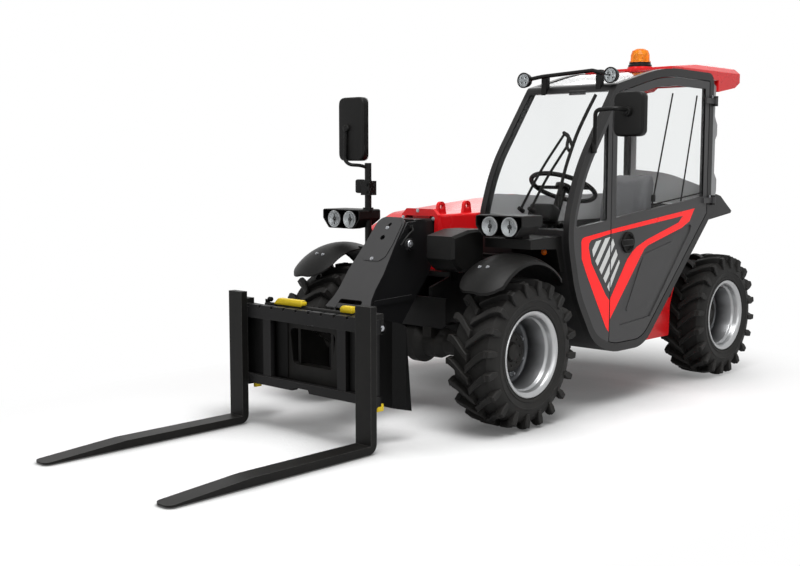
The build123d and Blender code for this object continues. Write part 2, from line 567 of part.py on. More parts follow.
inner_lamp = (352, 172, 1790)
outer_lamp = (300, 705, 1795)
roof_bar = bar([inner_lamp, (322, 270, 1808), (300, 585, 1826), outer_lamp], 40, 11)
lamp_section = [(-34, 0), (-34, 22), (-22, 36), (6, 43), (14, 43), (14, 37), (8, 36), (8, 0)]
roof_lamp = revolve(Plane.XY * outline(lamp_section), axis=Axis.X)
lamp_feet = box(270, 304, 610, 640, 1700, 1828) + box(280, 318, 262, 292, 1700, 1812)
lamp_feet -= side_plate(inset_outline(cab_corners, -SEAT_GAP), CAB_IN, CAB_OUT) + parts["roof"]
parts["roof_lamps"] = roof_bar + Pos(*inner_lamp) * roof_lamp + Pos(*outer_lamp) * roof_lamp + lamp_feet

wing_face = outline([(-905, 1142), (-1010, 1136), (-1066, 1124), (-1135, 1078), (-1217, 1026),
                     (-1204, 1012), (-925, 980)])
wing_hollow = outline([(-925, 1122), (-1040, 1112), (-1150, 1030), (-940, 1000)])
rear_wing = side_plate(wing_face, 540, 652) - side_plate(wing_hollow, 539, 640)
parts["rear_lamps"] = rear_wing + box(-930, CAB_REAR_X - SEAT_GAP, 632, 648, 1020, 1068)

# ---------------------------------------------------------------- boom
boom_mid = Pos(0, (BOOM_BOTTOM + BOOM_TOP) / 2)
boom_w = 2 * BOOM_HALF_W
boom_h = BOOM_TOP - BOOM_BOTTOM
section_outer = boom_mid * RectangleRounded(boom_w, boom_h, 16)
outer_hollow = boom_mid * RectangleRounded(boom_w - 2 * BOOM_WALL, boom_h - 2 * BOOM_WALL, 8)
boom = cross_plate(section_outer - outer_hollow, -BOOM_TAIL, BOOM_FRONT)
flange_half = BOOM_HALF_W + 14
flange_face = outline([(-flange_half, BOOM_BOTTOM - 32), (flange_half, BOOM_BOTTOM - 32),
                       (flange_half, BOOM_TOP - 4),
                       (flange_half - 34, BOOM_TOP + 28), (34 - flange_half, BOOM_TOP + 28),
                       (-flange_half, BOOM_TOP - 4)], 6)
mouth = boom_mid * RectangleRounded(boom_w - 2 * BOOM_WALL, boom_h - 2 * BOOM_WALL, 8)
flange = cross_plate(flange_face - mouth, BOOM_FRONT - 12, BOOM_FRONT)
keeper = cross_plate((flange_face - mouth) & Pos(0, BOOM_TOP - 30) * Rectangle(400, 128), BOOM_FRONT,
                     BOOM_FRONT + KEEPER_T)
lower_keeper = (flange_face - mouth) & Pos(0, BOOM_BOTTOM + 5) * Rectangle(400, 116)
flange += keeper + cross_plate(lower_keeper, BOOM_FRONT, BOOM_FRONT + KEEPER_T)
pivot = pin_y(BOOM_PIVOT_X, BOOM_PIVOT_Z, -RAIL_OUT - 12, RAIL_OUT + 12, PIVOT_PIN_R)
boss = pin_y(BOOM_PIVOT_X, BOOM_PIVOT_Z, -RAIL_IN + SEAT_GAP, RAIL_IN - SEAT_GAP, 60)
lug_face = outline([(LIFT_EYE_X - 110, BOOM_BOTTOM + 2), (LIFT_EYE_X - 45, LIFT_EYE_Z - 45),
                    (LIFT_EYE_X + 45, LIFT_EYE_Z - 45),
                    (LIFT_EYE_X + 110, BOOM_BOTTOM + 2)])
lug = side_plate(lug_face, 42, 60)
pad_t = INNER_GAP - SEAT_GAP
mouth_pads = box(BOOM_FRONT - 120, BOOM_FRONT, -60, 60, BOOM_TOP - BOOM_WALL - pad_t, BOOM_TOP - BOOM_WALL)
mouth_pads += box(BOOM_FRONT - 120, BOOM_FRONT, -60, 60, BOOM_BOTTOM + BOOM_WALL,
                  BOOM_BOTTOM + BOOM_WALL + pad_t)
side_in = BOOM_HALF_W - BOOM_WALL
side_pad = box(BOOM_FRONT - 120, BOOM_FRONT, side_in - pad_t, side_in, BOOM_BOTTOM + 50, BOOM_TOP - 50)
parts["boom_outer"] = boom + flange + pivot + boss + both_sides(lug + side_pad) + mouth_pads

eye_face = outline([(-36, 0), (36, 0), (EYE_R, EYE_HOLE_Z), (-EYE_R, EYE_HOLE_Z)])
eye_face += Pos(0, EYE_HOLE_Z) * Circle(EYE_R)
eye = side_plate(eye_face, -9, 9) - pin_y(0, EYE_HOLE_Z, -10, 10, EYE_HOLE_R)
parts["lifting_eyes"] = Pos(EYE_X[0], EYE_Y, BOOM_TOP) * eye + Pos(EYE_X[1], EYE_Y, BOOM_TOP) * eye

inner_half_w = BOOM_HALF_W - BOOM_WALL - INNER_GAP
inner_bottom = BOOM_BOTTOM + BOOM_WALL + INNER_GAP
inner_top = BOOM_TOP - BOOM_WALL - INNER_GAP
inner_w = 2 * inner_half_w
inner_h = inner_top - inner_bottom
section_inner = boom_mid * RectangleRounded(inner_w, inner_h, 14)
inner_hollow = boom_mid * RectangleRounded(inner_w - 2 * INNER_WALL, inner_h - 2 * INNER_WALL, 6)
inner = cross_plate(section_inner - inner_hollow, INNER_TAIL_X, 1180)
tail_pads = box(INNER_TAIL_X, INNER_TAIL_X + 110, -60, 60, inner_bottom - pad_t, inner_top + pad_t)
tail_pads += box(INNER_TAIL_X, INNER_TAIL_X + 110, -inner_half_w - pad_t, inner_half_w + pad_t,
                 BOOM_BOTTOM + 50, BOOM_TOP - 50)
tail_pads -= box(INNER_TAIL_X - 1, INNER_TAIL_X + 111, -inner_half_w + 5, inner_half_w - 5,
                 inner_bottom + 5, inner_top - 5)
parts["boom_inner"] = inner + tail_pads

side_face = outline([(1112, 1032), (1098, 925), (1064, 850), (1064, 782), (1100, 730), (1286, 508),
                     (1455, 344),
                     (1500, 285), (1560, 265), (1612, 296), (1606, 520), (1566, 606), (1246, 1026)], 8)
head_plate = side_plate(side_face, HEAD_HALF_W - HEAD_PLATE, HEAD_HALF_W)
side_rib = side_plate(outline([(1210, 622), (1500, 612), (1500, 640), (1210, 650)], 10), HEAD_HALF_W,
                      HEAD_HALF_W + 8)
pin_boss = pin_y(TILT_TOP_X, TILT_TOP_Z, HEAD_HALF_W, HEAD_HALF_W + 26, 30)
head_plate += side_rib + pin_boss

nose_run = Vector(NOSE_HEAD[0] - NOSE_FOOT[0], 0, NOSE_HEAD[1] - NOSE_FOOT[1])
nose_up = nose_run.normalized()
on_nose = Plane(origin=(NOSE_FOOT[0], 0, NOSE_FOOT[1]), x_dir=(0, 1, 0), z_dir=(nose_up.Z, 0, -nose_up.X))
nose_len = nose_run.length
nose_half = [(92, nose_len + 12), (98, nose_len - 40), (104, 400), (128, 200), (127, 100), (135, 44),
             (156, -8), (156, -16), (84, -16)]
nose_face = make_face(Polyline(*nose_half, *[(-a, up) for a, up in reversed(nose_half)], close=True))
top_corners = nose_face.vertices().group_by(Axis.Y)[-1]
nose_face = fillet(top_corners, 52)
window = Pos(0, -4) * RectangleRounded(164, 80, 18)
slot = Pos(0, 488) * Rot(0, 0, 55) * SlotOverall(46, 17)
nose_face -= window + Pos(0, 415) * Circle(15) + slot
doubler_face = outline([(-84, 300), (-52, 272), (52, 272), (84, 300), (92, 380), (86, nose_len - 30),
                        (52, nose_len + 2),
                        (-52, nose_len + 2), (-86, nose_len - 30), (-92, 380)], 20)
doubler_face -= Pos(0, 415) * Circle(15) + slot
nose_plate = on_nose * extrude(nose_face, amount=-NOSE_PLATE) + on_nose * extrude(doubler_face, amount=4)
foot_rail = side_plate(outline([(NOSE_FOOT[0] - 34, 618), (NOSE_FOOT[0] - 4, 622), (NOSE_FOOT[0] + 6, 600),
                                (NOSE_FOOT[0] - 26, 590)]),
                       -HEAD_HALF_W, HEAD_HALF_W)
collar_face = Pos(0, 909) * Rectangle(2 * HEAD_HALF_W - 2, 258)
collar = cross_plate(collar_face, 1110, 1180)
collar -= box(1090, 1190, -inner_half_w, inner_half_w, inner_bottom, inner_top)
tie = box(1240, 1275, -HEAD_HALF_W + 2, HEAD_HALF_W - 2, 640, 700)
tie += box(1430, 1470, -HEAD_HALF_W + 2, HEAD_HALF_W - 2, 400, 430)
tilt_pin = pin_y(TILT_TOP_X, TILT_TOP_Z, -HEAD_HALF_W - 34, HEAD_HALF_W + 34, 22)
lower_pin = pin_y(COUPLER_PIN_X, COUPLER_PIN_Z, -HEAD_HALF_W - 30, HEAD_HALF_W + 30, COUPLER_PIN_R)
parts["boom_head"] = both_sides(head_plate) + nose_plate + foot_rail + collar + tie + tilt_pin + lower_pin

# ---------------------------------------------------------------- coupler, carriage and forks
ear_face = outline([(COUPLER_PIN_X - 50, COUPLER_PIN_Z - 40), (COUPLER_PIN_X + 30, COUPLER_PIN_Z - 55),
                    (APRON_X - 40, 236),
                    (APRON_X, 236), (APRON_X, 610), (APRON_X - 60, 610), (COUPLER_PIN_X + 60, 400),
                    (COUPLER_PIN_X - 50, COUPLER_PIN_Z + 40)], 12)
ear = side_plate(ear_face, HEAD_HALF_W + RUN, HEAD_HALF_W + RUN + 18)
ear -= pin_y(COUPLER_PIN_X, COUPLER_PIN_Z, 0, 400, COUPLER_PIN_R + 0.05)
lever_face = outline([(TILT_ROD_X - 35, TILT_ROD_Z + 35), (TILT_ROD_X - 35, TILT_ROD_Z - 35),
                      (TILT_ROD_X + 20, TILT_ROD_Z - 40),
                      (APRON_X, 520), (APRON_X, 600), (APRON_X - 55, 600)], 10)
lever = side_plate(lever_face, 40, 58)
cross_beam = box(APRON_X - 55, APRON_X + 1, -HEAD_HALF_W - RUN - 1, HEAD_HALF_W + RUN + 1, 535, 600)
see_through = outline([(-165, 516), (165, 516), (141, 334), (-141, 334)], 26)
apron_face = outline([(-372, 240), (372, 240), (372, 560), (300, 610), (-300, 610), (-372, 560)])
apron_face -= see_through
apron = cross_plate(apron_face, APRON_X, APRON_X + APRON_T)
tunnel = cross_plate(offset(see_through, 6) - see_through, APRON_X - 40, APRON_X + 4)
hook_rod = pin_y(APRON_X - 4, 612, -372, 372, 13)
latch = side_plate(outline([(APRON_X + 4, 640), (APRON_X - 24, 618), (APRON_X - 24, 596),
                            (APRON_X + 4, 596)]), 356, 372)
long_handle = flat_plate(outline([(APRON_X - 14, -286), (APRON_X + 14, -240), (APRON_X + 14, -80),
                                  (APRON_X - 14, -80)], 8), 622, 650)
short_handle = flat_plate(outline([(APRON_X - 14, 190), (APRON_X + 14, 190), (APRON_X + 14, 268),
                                   (APRON_X - 14, 268)], 8), 622, 650)
parts["coupler"] = both_sides(ear + lever + latch) + cross_beam + apron + tunnel + hook_rod + long_handle
parts["coupler"] += short_handle

bar_upper = cross_plate(window_region(-CARRIAGE_HALF_W, CARRIAGE_HALF_W, *BAR_UPPER_Z), CARRIAGE_X,
                        CARRIAGE_X + CARRIAGE_T)
for i in range(10):
    notch_y = -405 + i * 90
    bar_upper -= box(CARRIAGE_X, CARRIAGE_X + CARRIAGE_T + 1, notch_y - 8, notch_y + 8, BAR_UPPER_Z[1] - 14,
                     BAR_UPPER_Z[1] + 1)
lower_face = window_region(-CARRIAGE_HALF_W, CARRIAGE_HALF_W, *BAR_LOWER_Z)
lower_notch = outline([(-76, BAR_LOWER_Z[0] - 1), (-64, BAR_LOWER_Z[0] + 17), (40, BAR_LOWER_Z[0] + 17),
                       (48, BAR_LOWER_Z[0] - 1)])
bar_lower = cross_plate(lower_face - lower_notch, CARRIAGE_X, CARRIAGE_X + CARRIAGE_T)
bar_front = CARRIAGE_X + CARRIAGE_T - 6
inner_post = box(CARRIAGE_X, bar_front, 240, 296, BAR_LOWER_Z[1], BAR_UPPER_Z[0])
inner_post += box(APRON_X + APRON_T, CARRIAGE_X, 300, 316, 244, BAR_UPPER_Z[1])
edge_post = box(CARRIAGE_X, bar_front, CHEEK_Y - 4, CHEEK_Y + 44, BAR_LOWER_Z[1], BAR_UPPER_Z[0])
side_panel = box(CARRIAGE_X, CARRIAGE_X + 6, 302, CHEEK_Y, BAR_LOWER_Z[1], BAR_UPPER_Z[0])
ramp_plan = [(CARRIAGE_X, 296), (APRON_X + APRON_T + RUN, 182), (APRON_X + APRON_T + RUN, 176),
             (CARRIAGE_X, 290)]
ramp = flat_plate(outline(ramp_plan), BAR_LOWER_Z[1] - 2, BAR_UPPER_Z[0] + 2)
cheek_x = CARRIAGE_X - 26
cheek = side_plate(outline([(cheek_x, 197), (CARRIAGE_X + 10, 197), (CARRIAGE_X + 10, 588), (cheek_x, 588)],
                           6), CHEEK_Y - 6, CHEEK_Y + 6)
fold_x = cheek_x - 127
guard_plan = outline([(cheek_x + 6, CHEEK_Y + 6), (fold_x, CHEEK_Y - 22), (fold_x - 64, CHEEK_Y + 8),
                      (fold_x - 108, CHEEK_Y + 8), (fold_x, CHEEK_Y - 30), (cheek_x + 6, CHEEK_Y - 2)])
guard_face = outline([(cheek_x + 8, 620), (cheek_x + 8, 216), (fold_x, 172), (fold_x - 104, 148),
                      (fold_x - 64, 562), (fold_x - 34, 578)])
guard = flat_plate(guard_plan, 140, 640) & side_plate(guard_face, CHEEK_Y - 60, CHEEK_Y + 20)
roller = pin_y(APRON_X, 570, CHEEK_Y - 24, CHEEK_Y + 10, 26)
hanger = side_plate(outline([(cheek_x + 8, 545), (cheek_x + 8, 606), (APRON_X - 24, 606),
                             (APRON_X - 24, 545)], 10), CHEEK_Y - 18, CHEEK_Y - 5)
parts["carriage"] = bar_upper + bar_lower
parts["carriage"] += both_sides(inner_post + edge_post + side_panel + ramp + cheek + guard + roller + hanger)

blade_top = FORK_BOTTOM + FORK_T
shank_back = FORK_FACE_X - FORK_T
fork_face = outline([(shank_back, FORK_BOTTOM), (FORK_TIP_X, FORK_BOTTOM), (FORK_TIP_X, FORK_BOTTOM + 9),
                     (FORK_TIP_X - 420, blade_top),
                     (FORK_FACE_X, blade_top), (FORK_FACE_X, FORK_TOP), (shank_back, FORK_TOP)])
fork = side_plate(fork_face, FORK_Y - FORK_W / 2, FORK_Y + FORK_W / 2)
heel_edge = fork.edges().filter_by(Axis.Y).sort_by_distance((shank_back, FORK_Y, FORK_BOTTOM))[0]
fork = fillet(heel_edge, 46)
tip_edges = fork.edges().filter_by(Axis.Z).group_by(Axis.X)[-1]
fork = fillet(tip_edges, 30)
hook_z = BAR_UPPER_Z[1]
hook = box(CARRIAGE_X - 16, shank_back + 1, FORK_Y - 40, FORK_Y + 40, hook_z + SEAT_GAP, hook_z + 26)
hook += box(CARRIAGE_X - 16, CARRIAGE_X - SEAT_GAP, FORK_Y - 40, FORK_Y + 40, hook_z - 30, hook_z + 26)
parts["fork_left"] = fork + hook
parts["fork_right"] = mirror(fork + hook, about=Plane.XZ)


# ---------------------------------------------------------------- cylinders
def cylinder_pair(base, eye, barrel_r, rod_r, base_pin, half_w):
    """Barrel at the base pin and rod whose eye ends at the other pin."""
    dx = eye[0] - base[0]
    dz = eye[1] - base[1]
    length = math.hypot(dx, dz)
    place = Pos(base[0], 0, base[1]) * Rot(0, -math.degrees(math.atan2(dz, dx)), 0)
    barrel = pin_x(0, 0, 20, length - 90, barrel_r) + pin_y(0, 0, -half_w, half_w, barrel_r)
    barrel -= pin_y(0, 0, -barrel_r - 5, barrel_r + 5, base_pin + 0.05)
    barrel -= pin_x(0, 0, base_pin + 40, length, rod_r + 0.05)
    rod = pin_x(0, 0, base_pin + 90, length - 20, rod_r) + pin_y(length, 0, -half_w, half_w, barrel_r - 6)
    return place * barrel, place * rod


lift_barrel, lift_rod = cylinder_pair((LIFT_BASE_X, LIFT_BASE_Z), (LIFT_EYE_X, LIFT_EYE_Z), 46, 26, 25, 34)
parts["lift_barrel"] = lift_barrel
parts["lift_rod"] = lift_rod
tilt_barrel, tilt_rod = cylinder_pair((TILT_TOP_X, TILT_TOP_Z), (TILT_ROD_X, TILT_ROD_Z), 40, 22, 22, 32)
parts["tilt_barrel"] = tilt_barrel
parts["tilt_rod"] = tilt_rod

# ---------------------------------------------------------------- origin and export
whole = Compound(children=[Compound(list(shape.solids())) for shape in parts.values()]).bounding_box()
SHIFT_X = -(whole.min.X + whole.max.X) / 2
SHIFT_Y = -(whole.min.Y + whole.max.Y) / 2
SHIFT_Z = -whole.min.Z
for node, shape in parts.items():
    export_step(Pos(SHIFT_X, SHIFT_Y, SHIFT_Z) * shape, "parts/" + node + ".step")
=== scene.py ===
# %% [markdown]
# # Compact telehandler: finish and fittings
# The solids of the machine come from its CAD model, which is loaded here as a fixed frame.
# This lesson gives each surface its finish and adds what a maker would bolt, cast, press or
# mould onto the solids: field tyres, dished rims, lamps, mirrors, decals, wipers, bolts and
# the padded seat. Every added piece rides on the body that carries it.

# %% Load the frame
import math

import bmesh
import bpy
from mathutils import Matrix, Vector


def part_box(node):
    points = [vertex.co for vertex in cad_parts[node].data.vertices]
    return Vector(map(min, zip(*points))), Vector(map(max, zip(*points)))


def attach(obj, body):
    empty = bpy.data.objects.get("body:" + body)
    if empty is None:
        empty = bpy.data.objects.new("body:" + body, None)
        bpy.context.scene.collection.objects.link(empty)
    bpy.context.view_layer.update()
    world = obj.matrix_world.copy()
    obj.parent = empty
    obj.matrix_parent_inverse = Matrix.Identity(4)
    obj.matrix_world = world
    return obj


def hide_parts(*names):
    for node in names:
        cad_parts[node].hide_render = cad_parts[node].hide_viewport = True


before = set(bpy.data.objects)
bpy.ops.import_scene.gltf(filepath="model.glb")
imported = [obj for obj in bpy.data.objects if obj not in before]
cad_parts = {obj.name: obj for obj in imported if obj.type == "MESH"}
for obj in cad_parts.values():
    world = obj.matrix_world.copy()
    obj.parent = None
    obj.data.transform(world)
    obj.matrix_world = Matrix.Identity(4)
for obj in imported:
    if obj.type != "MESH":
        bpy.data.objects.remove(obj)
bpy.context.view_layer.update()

# %% [markdown]
# ## One set of axes
# The machine was drawn in millimetres with x forward from mid-wheelbase, y to the left of the
# centreline and z up from the ground. The frame is in metres, about the middle of its own box.
# The four tyres give the step between the two, so pieces can be drawn in the machine's own
# millimetres and brought into the frame at the end.

# %% Machine axes from the tyres


def middle(node):
    """Centre of a CAD node's box, in metres."""
    low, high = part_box(node)
    return (low + high) / 2


CORNERS = {"front_left": 1, "front_right": -1, "rear_left": 1, "rear_right": -1}
centres = {corner: middle("tyre_" + corner) for corner in CORNERS}
mid_x = (centres["front_left"].x + centres["rear_left"].x) / 2
mid_y = (centres["front_left"].y + centres["front_right"].y) / 2
TO_FRAME = Matrix.Translation((mid_x, mid_y, 0)) @ Matrix.Scale(0.001, 4)
WHEELBASE = (centres["front_left"].x - centres["rear_left"].x) * 1000
HALF_TRACK = (centres["front_left"].y - centres["front_right"].y) * 500
TYRE_R = centres["front_left"].z * 1000
print("wheelbase", round(WHEELBASE), "half track", round(HALF_TRACK), "tyre radius", round(TYRE_R))


def span(node):
    """Lowest and highest corner of a CAD node in the machine's millimetres."""
    back = TO_FRAME.inverted()
    low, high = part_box(node)
    return back @ low, back @ high


# %% [markdown]
# ## Small tools for modelling
# A piece starts as an empty bmesh. Boxes, rods, plates and turned shapes are put into it with
# bmesh operators. `piece` then brings it into the frame, turns its faces outwards, marks the
# sharp edges, and lets it ride on a body.

# %% Pieces, boxes, rods and bolts
FINISHED = []


def to_object(name, bm):
    """Object made of a bmesh, put in the scene."""
    mesh = bpy.data.meshes.new(name)
    bm.to_mesh(mesh)
    bm.free()
    made = bpy.data.objects.new(name, mesh)
    bpy.context.scene.collection.objects.link(made)
    return made


def piece(name, bm, material, body, slot=None, sharp=35):
    """Make an object of a bmesh drawn in machine millimetres, riding on a body."""
    bmesh.ops.transform(bm, matrix=TO_FRAME, verts=bm.verts)
    bmesh.ops.recalc_face_normals(bm, faces=bm.faces)
    for face in bm.faces:
        face.smooth = True
    for edge in bm.edges:
        edge.smooth = len(edge.link_faces) == 2 and edge.calc_face_angle(0) < math.radians(sharp)
    made = to_object(name, bm)
    made.data.materials.append(material)
    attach(made, body)
    FINISHED.append(made)
    return made


def round_edges(bm, verts, radius, segments=2):
    """Round every edge among some vertices."""
    edges = list({edge for vert in verts for edge in vert.link_edges})
    bmesh.ops.bevel(bm, geom=edges, offset=radius, segments=segments, affect="EDGES",
                    profile=0.5, material=-1, clamp_overlap=True)


def add_box(bm, low, high, radius=0, segments=2, turn=None):
    """Box between two corners, its edges rounded, turned about its centre."""
    low, high = Vector(low), Vector(high)
    place = Matrix.Translation((low + high) / 2)
    if turn:
        place = place @ turn
    place = place @ Matrix.Diagonal((*(high - low), 1))
    verts = bmesh.ops.create_cube(bm, size=1, matrix=place)["verts"]
    if radius:
        round_edges(bm, verts, radius, segments)
    return verts


def add_rod(bm, start, end, radius, end_radius=None, sides=24, rounding=0):
    """Round rod or cone from one point to another."""
    start, end = Vector(start), Vector(end)
    run = end - start
    place = Matrix.Translation((start + end) / 2) @ run.to_track_quat("Z", "Y").to_matrix().to_4x4()
    tip = radius if end_radius is None else end_radius
    made = bmesh.ops.create_cone(bm, cap_ends=True, segments=sides, radius1=radius, radius2=tip,
                                 depth=run.length, matrix=place)["verts"]
    if rounding:
        rims = [e for e in {e for v in made for e in v.link_edges} if len(e.link_faces) == 2
                and e.calc_face_angle(0) > math.radians(60)]
        bmesh.ops.bevel(bm, geom=rims, offset=rounding, segments=2, affect="EDGES",
                        profile=0.5, material=-1, clamp_overlap=True)
    return made


def add_bolt(bm, point, outwards, size=12):
    """Hexagon bolt head on its washer, size across flats in millimetres."""
    point, outwards = Vector(point), Vector(outwards).normalized()
    add_rod(bm, point - outwards, point + outwards * size * 0.14, size * 0.8, sides=20)
    add_rod(bm, point, point + outwards * size * 0.5, size * 0.56, size * 0.52, sides=6)


print("first tools:", [tool.__name__ for tool in (piece, add_box, add_rod, add_bolt)])

# %% [markdown]
# ## Plates and turned shapes
# Pressed panels, film and seals are flat outlines with a thickness, so they start as one face
# that is extruded. Wheels, lamps and caps are round, so they are profiles spun about an axis. A
# profile that runs out and back gives a wall with a real thickness.

# %% Plates and turned shapes
WAYS = {"x": Vector((1, 0, 0)), "y": Vector((0, 1, 0)), "z": Vector((0, 0, 1))}


def flat_face(bm, points, level, across):
    """One face from an outline drawn on two axes, at a level on the third."""
    spots = {"x": lambda a, b: (level, a, b), "y": lambda a, b: (a, level, b),
             "z": lambda a, b: (a, b, level)}
    return bm.faces.new([bm.verts.new(spots[across](a, b)) for a, b in points])


def thicken(bm, faces, across, depth):
    """Extrude faces along an axis; gives back the vertices that moved."""
    made = bmesh.ops.extrude_face_region(bm, geom=faces)["geom"]
    moved = [item for item in made if isinstance(item, bmesh.types.BMVert)]
    bmesh.ops.translate(bm, vec=WAYS[across] * depth, verts=moved)
    return moved


def add_plate(bm, points, low, high, across="y", radius=0):
    """Flat plate: an outline drawn on two axes, given its thickness along the third."""
    face = flat_face(bm, points, low, across)
    verts = face.verts[:]
    verts += thicken(bm, [face], across, high - low)
    if radius:
        round_edges(bm, verts, radius)
    return verts


def add_turned(bm, profile, centre, axis="y", steps=64):
    """Closed ring or dish: a profile of (along the axis, radius) spun about the axis."""
    along, side = WAYS[axis], WAYS["x" if axis == "z" else "z"]
    centre = Vector(centre)
    verts = [bm.verts.new(centre + along * step + side * max(radius, 0.01)) for step, radius in profile]
    edges = [bm.edges.new(pair) for pair in zip(verts, verts[1:])]
    bmesh.ops.spin(bm, geom=verts + edges, cent=centre, axis=along, angle=math.tau,
                   steps=steps, use_merge=True, use_duplicate=False)


print("flat and round:", [tool.__name__ for tool in (add_plate, add_turned)])

# %% [markdown]
# ## Bent tubes and copies
# Mirror arms, hoses and wiper rods are round tubes through a few points. A curve with a round
# section follows them once its corners are rounded, and its mesh is poured into the piece. What
# comes many times, such as a lug, is built in a bmesh of its own, turned, and poured in as well.

# %% Tubes and copies
BEND_STEPS = 6


def add_tube(bm, points, radius, corner=25, sides=16):
    """Bent round tube through points, its corners rounded."""
    curve = bpy.data.curves.new("bend", "CURVE")
    curve.dimensions = "3D"
    curve.bevel_depth = radius
    curve.bevel_resolution = sides // 4 - 1
    curve.use_fill_caps = True
    line = []
    points = [Vector(p) for p in points]
    for before, here, after in zip(points, points[1:], points[2:]):
        into, out = (before - here), (after - here)
        reach = min(corner, into.length / 2.2, out.length / 2.2)
        first, last = here + into.normalized() * reach, here + out.normalized() * reach
        for step in range(BEND_STEPS + 1):
            t = step / BEND_STEPS
            line.append(first * (1 - t) ** 2 + here * 2 * t * (1 - t) + last * t * t)
    line = [points[0]] + line + [points[-1]]
    spline = curve.splines.new("POLY")
    spline.points.add(len(line) - 1)
    for spot, place in zip(spline.points, line):
        spot.co = (*place, 1)
    holder = bpy.data.objects.new("bend", curve)
    mesh = bpy.data.meshes.new_from_object(holder)
    bm.from_mesh(mesh)
    bpy.data.objects.remove(holder)
    bpy.data.curves.remove(curve)
    bpy.data.meshes.remove(mesh)


def add_from(bm, other):
    """Pour another bmesh into this one."""
    holder = bpy.data.meshes.new("holder")
    other.to_mesh(holder)
    other.free()
    bm.from_mesh(holder)
    bpy.data.meshes.remove(holder)


def turn_all(bm, degrees, axis, centre=(0, 0, 0)):
    """Turn everything in a bmesh about an axis through a point."""
    bmesh.ops.rotate(bm, cent=centre, matrix=Matrix.Rotation(math.radians(degrees), 3, axis), verts=bm.verts)


print("tubes and copies:", [tool.__name__ for tool in (add_tube, add_from, turn_all)])

# %% [markdown]
# ## Shorthand for shader nodes
# Each node of a finish has to be made, set and linked. Small functions do the three in one
# line. For any input they take a number, a vector or the socket of another node.

# %% Node helpers


def open_group(name, inputs, outputs):
    """New shader node group with float inputs (name, value) and outputs (name, kind)."""
    group = bpy.data.node_groups.new(name, "ShaderNodeTree")
    for label, value in inputs:
        socket = group.interface.new_socket(name=label, in_out="INPUT", socket_type="NodeSocketFloat")
        socket.default_value = value
    for label, kind in outputs:
        group.interface.new_socket(name=label, in_out="OUTPUT", socket_type=kind)
    return group, group.nodes.new("NodeGroupInput"), group.nodes.new("NodeGroupOutput")


def feed(tree, sockets, values):
    """Give each socket its value, which may be another socket or a constant."""
    for socket, value in zip(sockets, values):
        if isinstance(value, bpy.types.NodeSocket):
            tree.links.new(value, socket)
        else:
            socket.default_value = value


def math_node(tree, operation, *values, clamp=False):
    """Math node fed by sockets or numbers."""
    node = tree.nodes.new("ShaderNodeMath")
    node.operation = operation
    node.use_clamp = clamp
    feed(tree, node.inputs, values)
    return node.outputs[0]


def vector_node(tree, operation, *values):
    """Vector math node fed by sockets or vectors."""
    node = tree.nodes.new("ShaderNodeVectorMath")
    node.operation = operation
    feed(tree, node.inputs, values)
    return node.outputs


def own_place(tree):
    """Place on the object, in metres."""
    return tree.nodes.new("ShaderNodeTexCoord").outputs["Object"]


def split_xyz(tree, vector):
    """The three parts of a vector."""
    node = tree.nodes.new("ShaderNodeSeparateXYZ")
    tree.links.new(vector, node.inputs[0])
    return node.outputs


def noise(tree, scale, detail=3, roughness=0.55):
    """Noise on object coordinates; scale may be a socket."""
    node = tree.nodes.new("ShaderNodeTexNoise")
    sockets = [node.inputs[label] for label in ("Vector", "Scale", "Detail", "Roughness")]
    feed(tree, sockets, (own_place(tree), scale, detail, roughness))
    return node.outputs["Fac"]


print("node helpers:", [tool.__name__ for tool in (math_node, vector_node, own_place, noise)])

# %% [markdown]
# ## Effects shared by the finishes
# Three effects come back in nearly every finish, so each is a node group with named sockets:
# a fine grain, which shifts the tone and lifts the surface a little; lighter edges, found by
# comparing the true normal with one that is rounded over the corners, partly rubbed paint and
# partly a painted highlight; and dust, which settles on faces that look up and gathers low on
# the machine. A finish places them with its own values.

# %% Node groups
grain_group, grain_in, grain_out = open_group(
    "Fine grain", [("Scale", 900), ("Cloud scale", 4)],
    [("Height", "NodeSocketFloat"), ("Cloud", "NodeSocketFloat")])
grain_group.links.new(noise(grain_group, grain_in.outputs["Scale"], 2), grain_out.inputs["Height"])
grain_group.links.new(noise(grain_group, grain_in.outputs["Cloud scale"], 4), grain_out.inputs["Cloud"])

# Lighter edges: partly rubbed paint, partly a painted highlight where the edges catch the light.
edge_wear_and_highlight_group, edge_in, edge_out = open_group(
    "Rubbed edges and painted highlight", [("Strength", 0.5)], [("Mask", "NodeSocketFloat")])
rounded = edge_wear_and_highlight_group.nodes.new("ShaderNodeBevel")
rounded.samples = 4
rounded.inputs["Radius"].default_value = 0.003
true_normal = edge_wear_and_highlight_group.nodes.new("ShaderNodeNewGeometry").outputs["Normal"]
alike = vector_node(edge_wear_and_highlight_group, "DOT_PRODUCT", rounded.outputs["Normal"], true_normal)["Value"]
bend = math_node(edge_wear_and_highlight_group, "SUBTRACT", 1.0, alike)
patchy = math_node(edge_wear_and_highlight_group, "MULTIPLY", bend, noise(edge_wear_and_highlight_group, 60, 4))
edge_wear_and_highlight_mask = math_node(edge_wear_and_highlight_group, "MULTIPLY", math_node(edge_wear_and_highlight_group, "MULTIPLY", patchy, 9.0),
                      edge_in.outputs["Strength"], clamp=True)
edge_wear_and_highlight_group.links.new(edge_wear_and_highlight_mask, edge_out.inputs["Mask"])

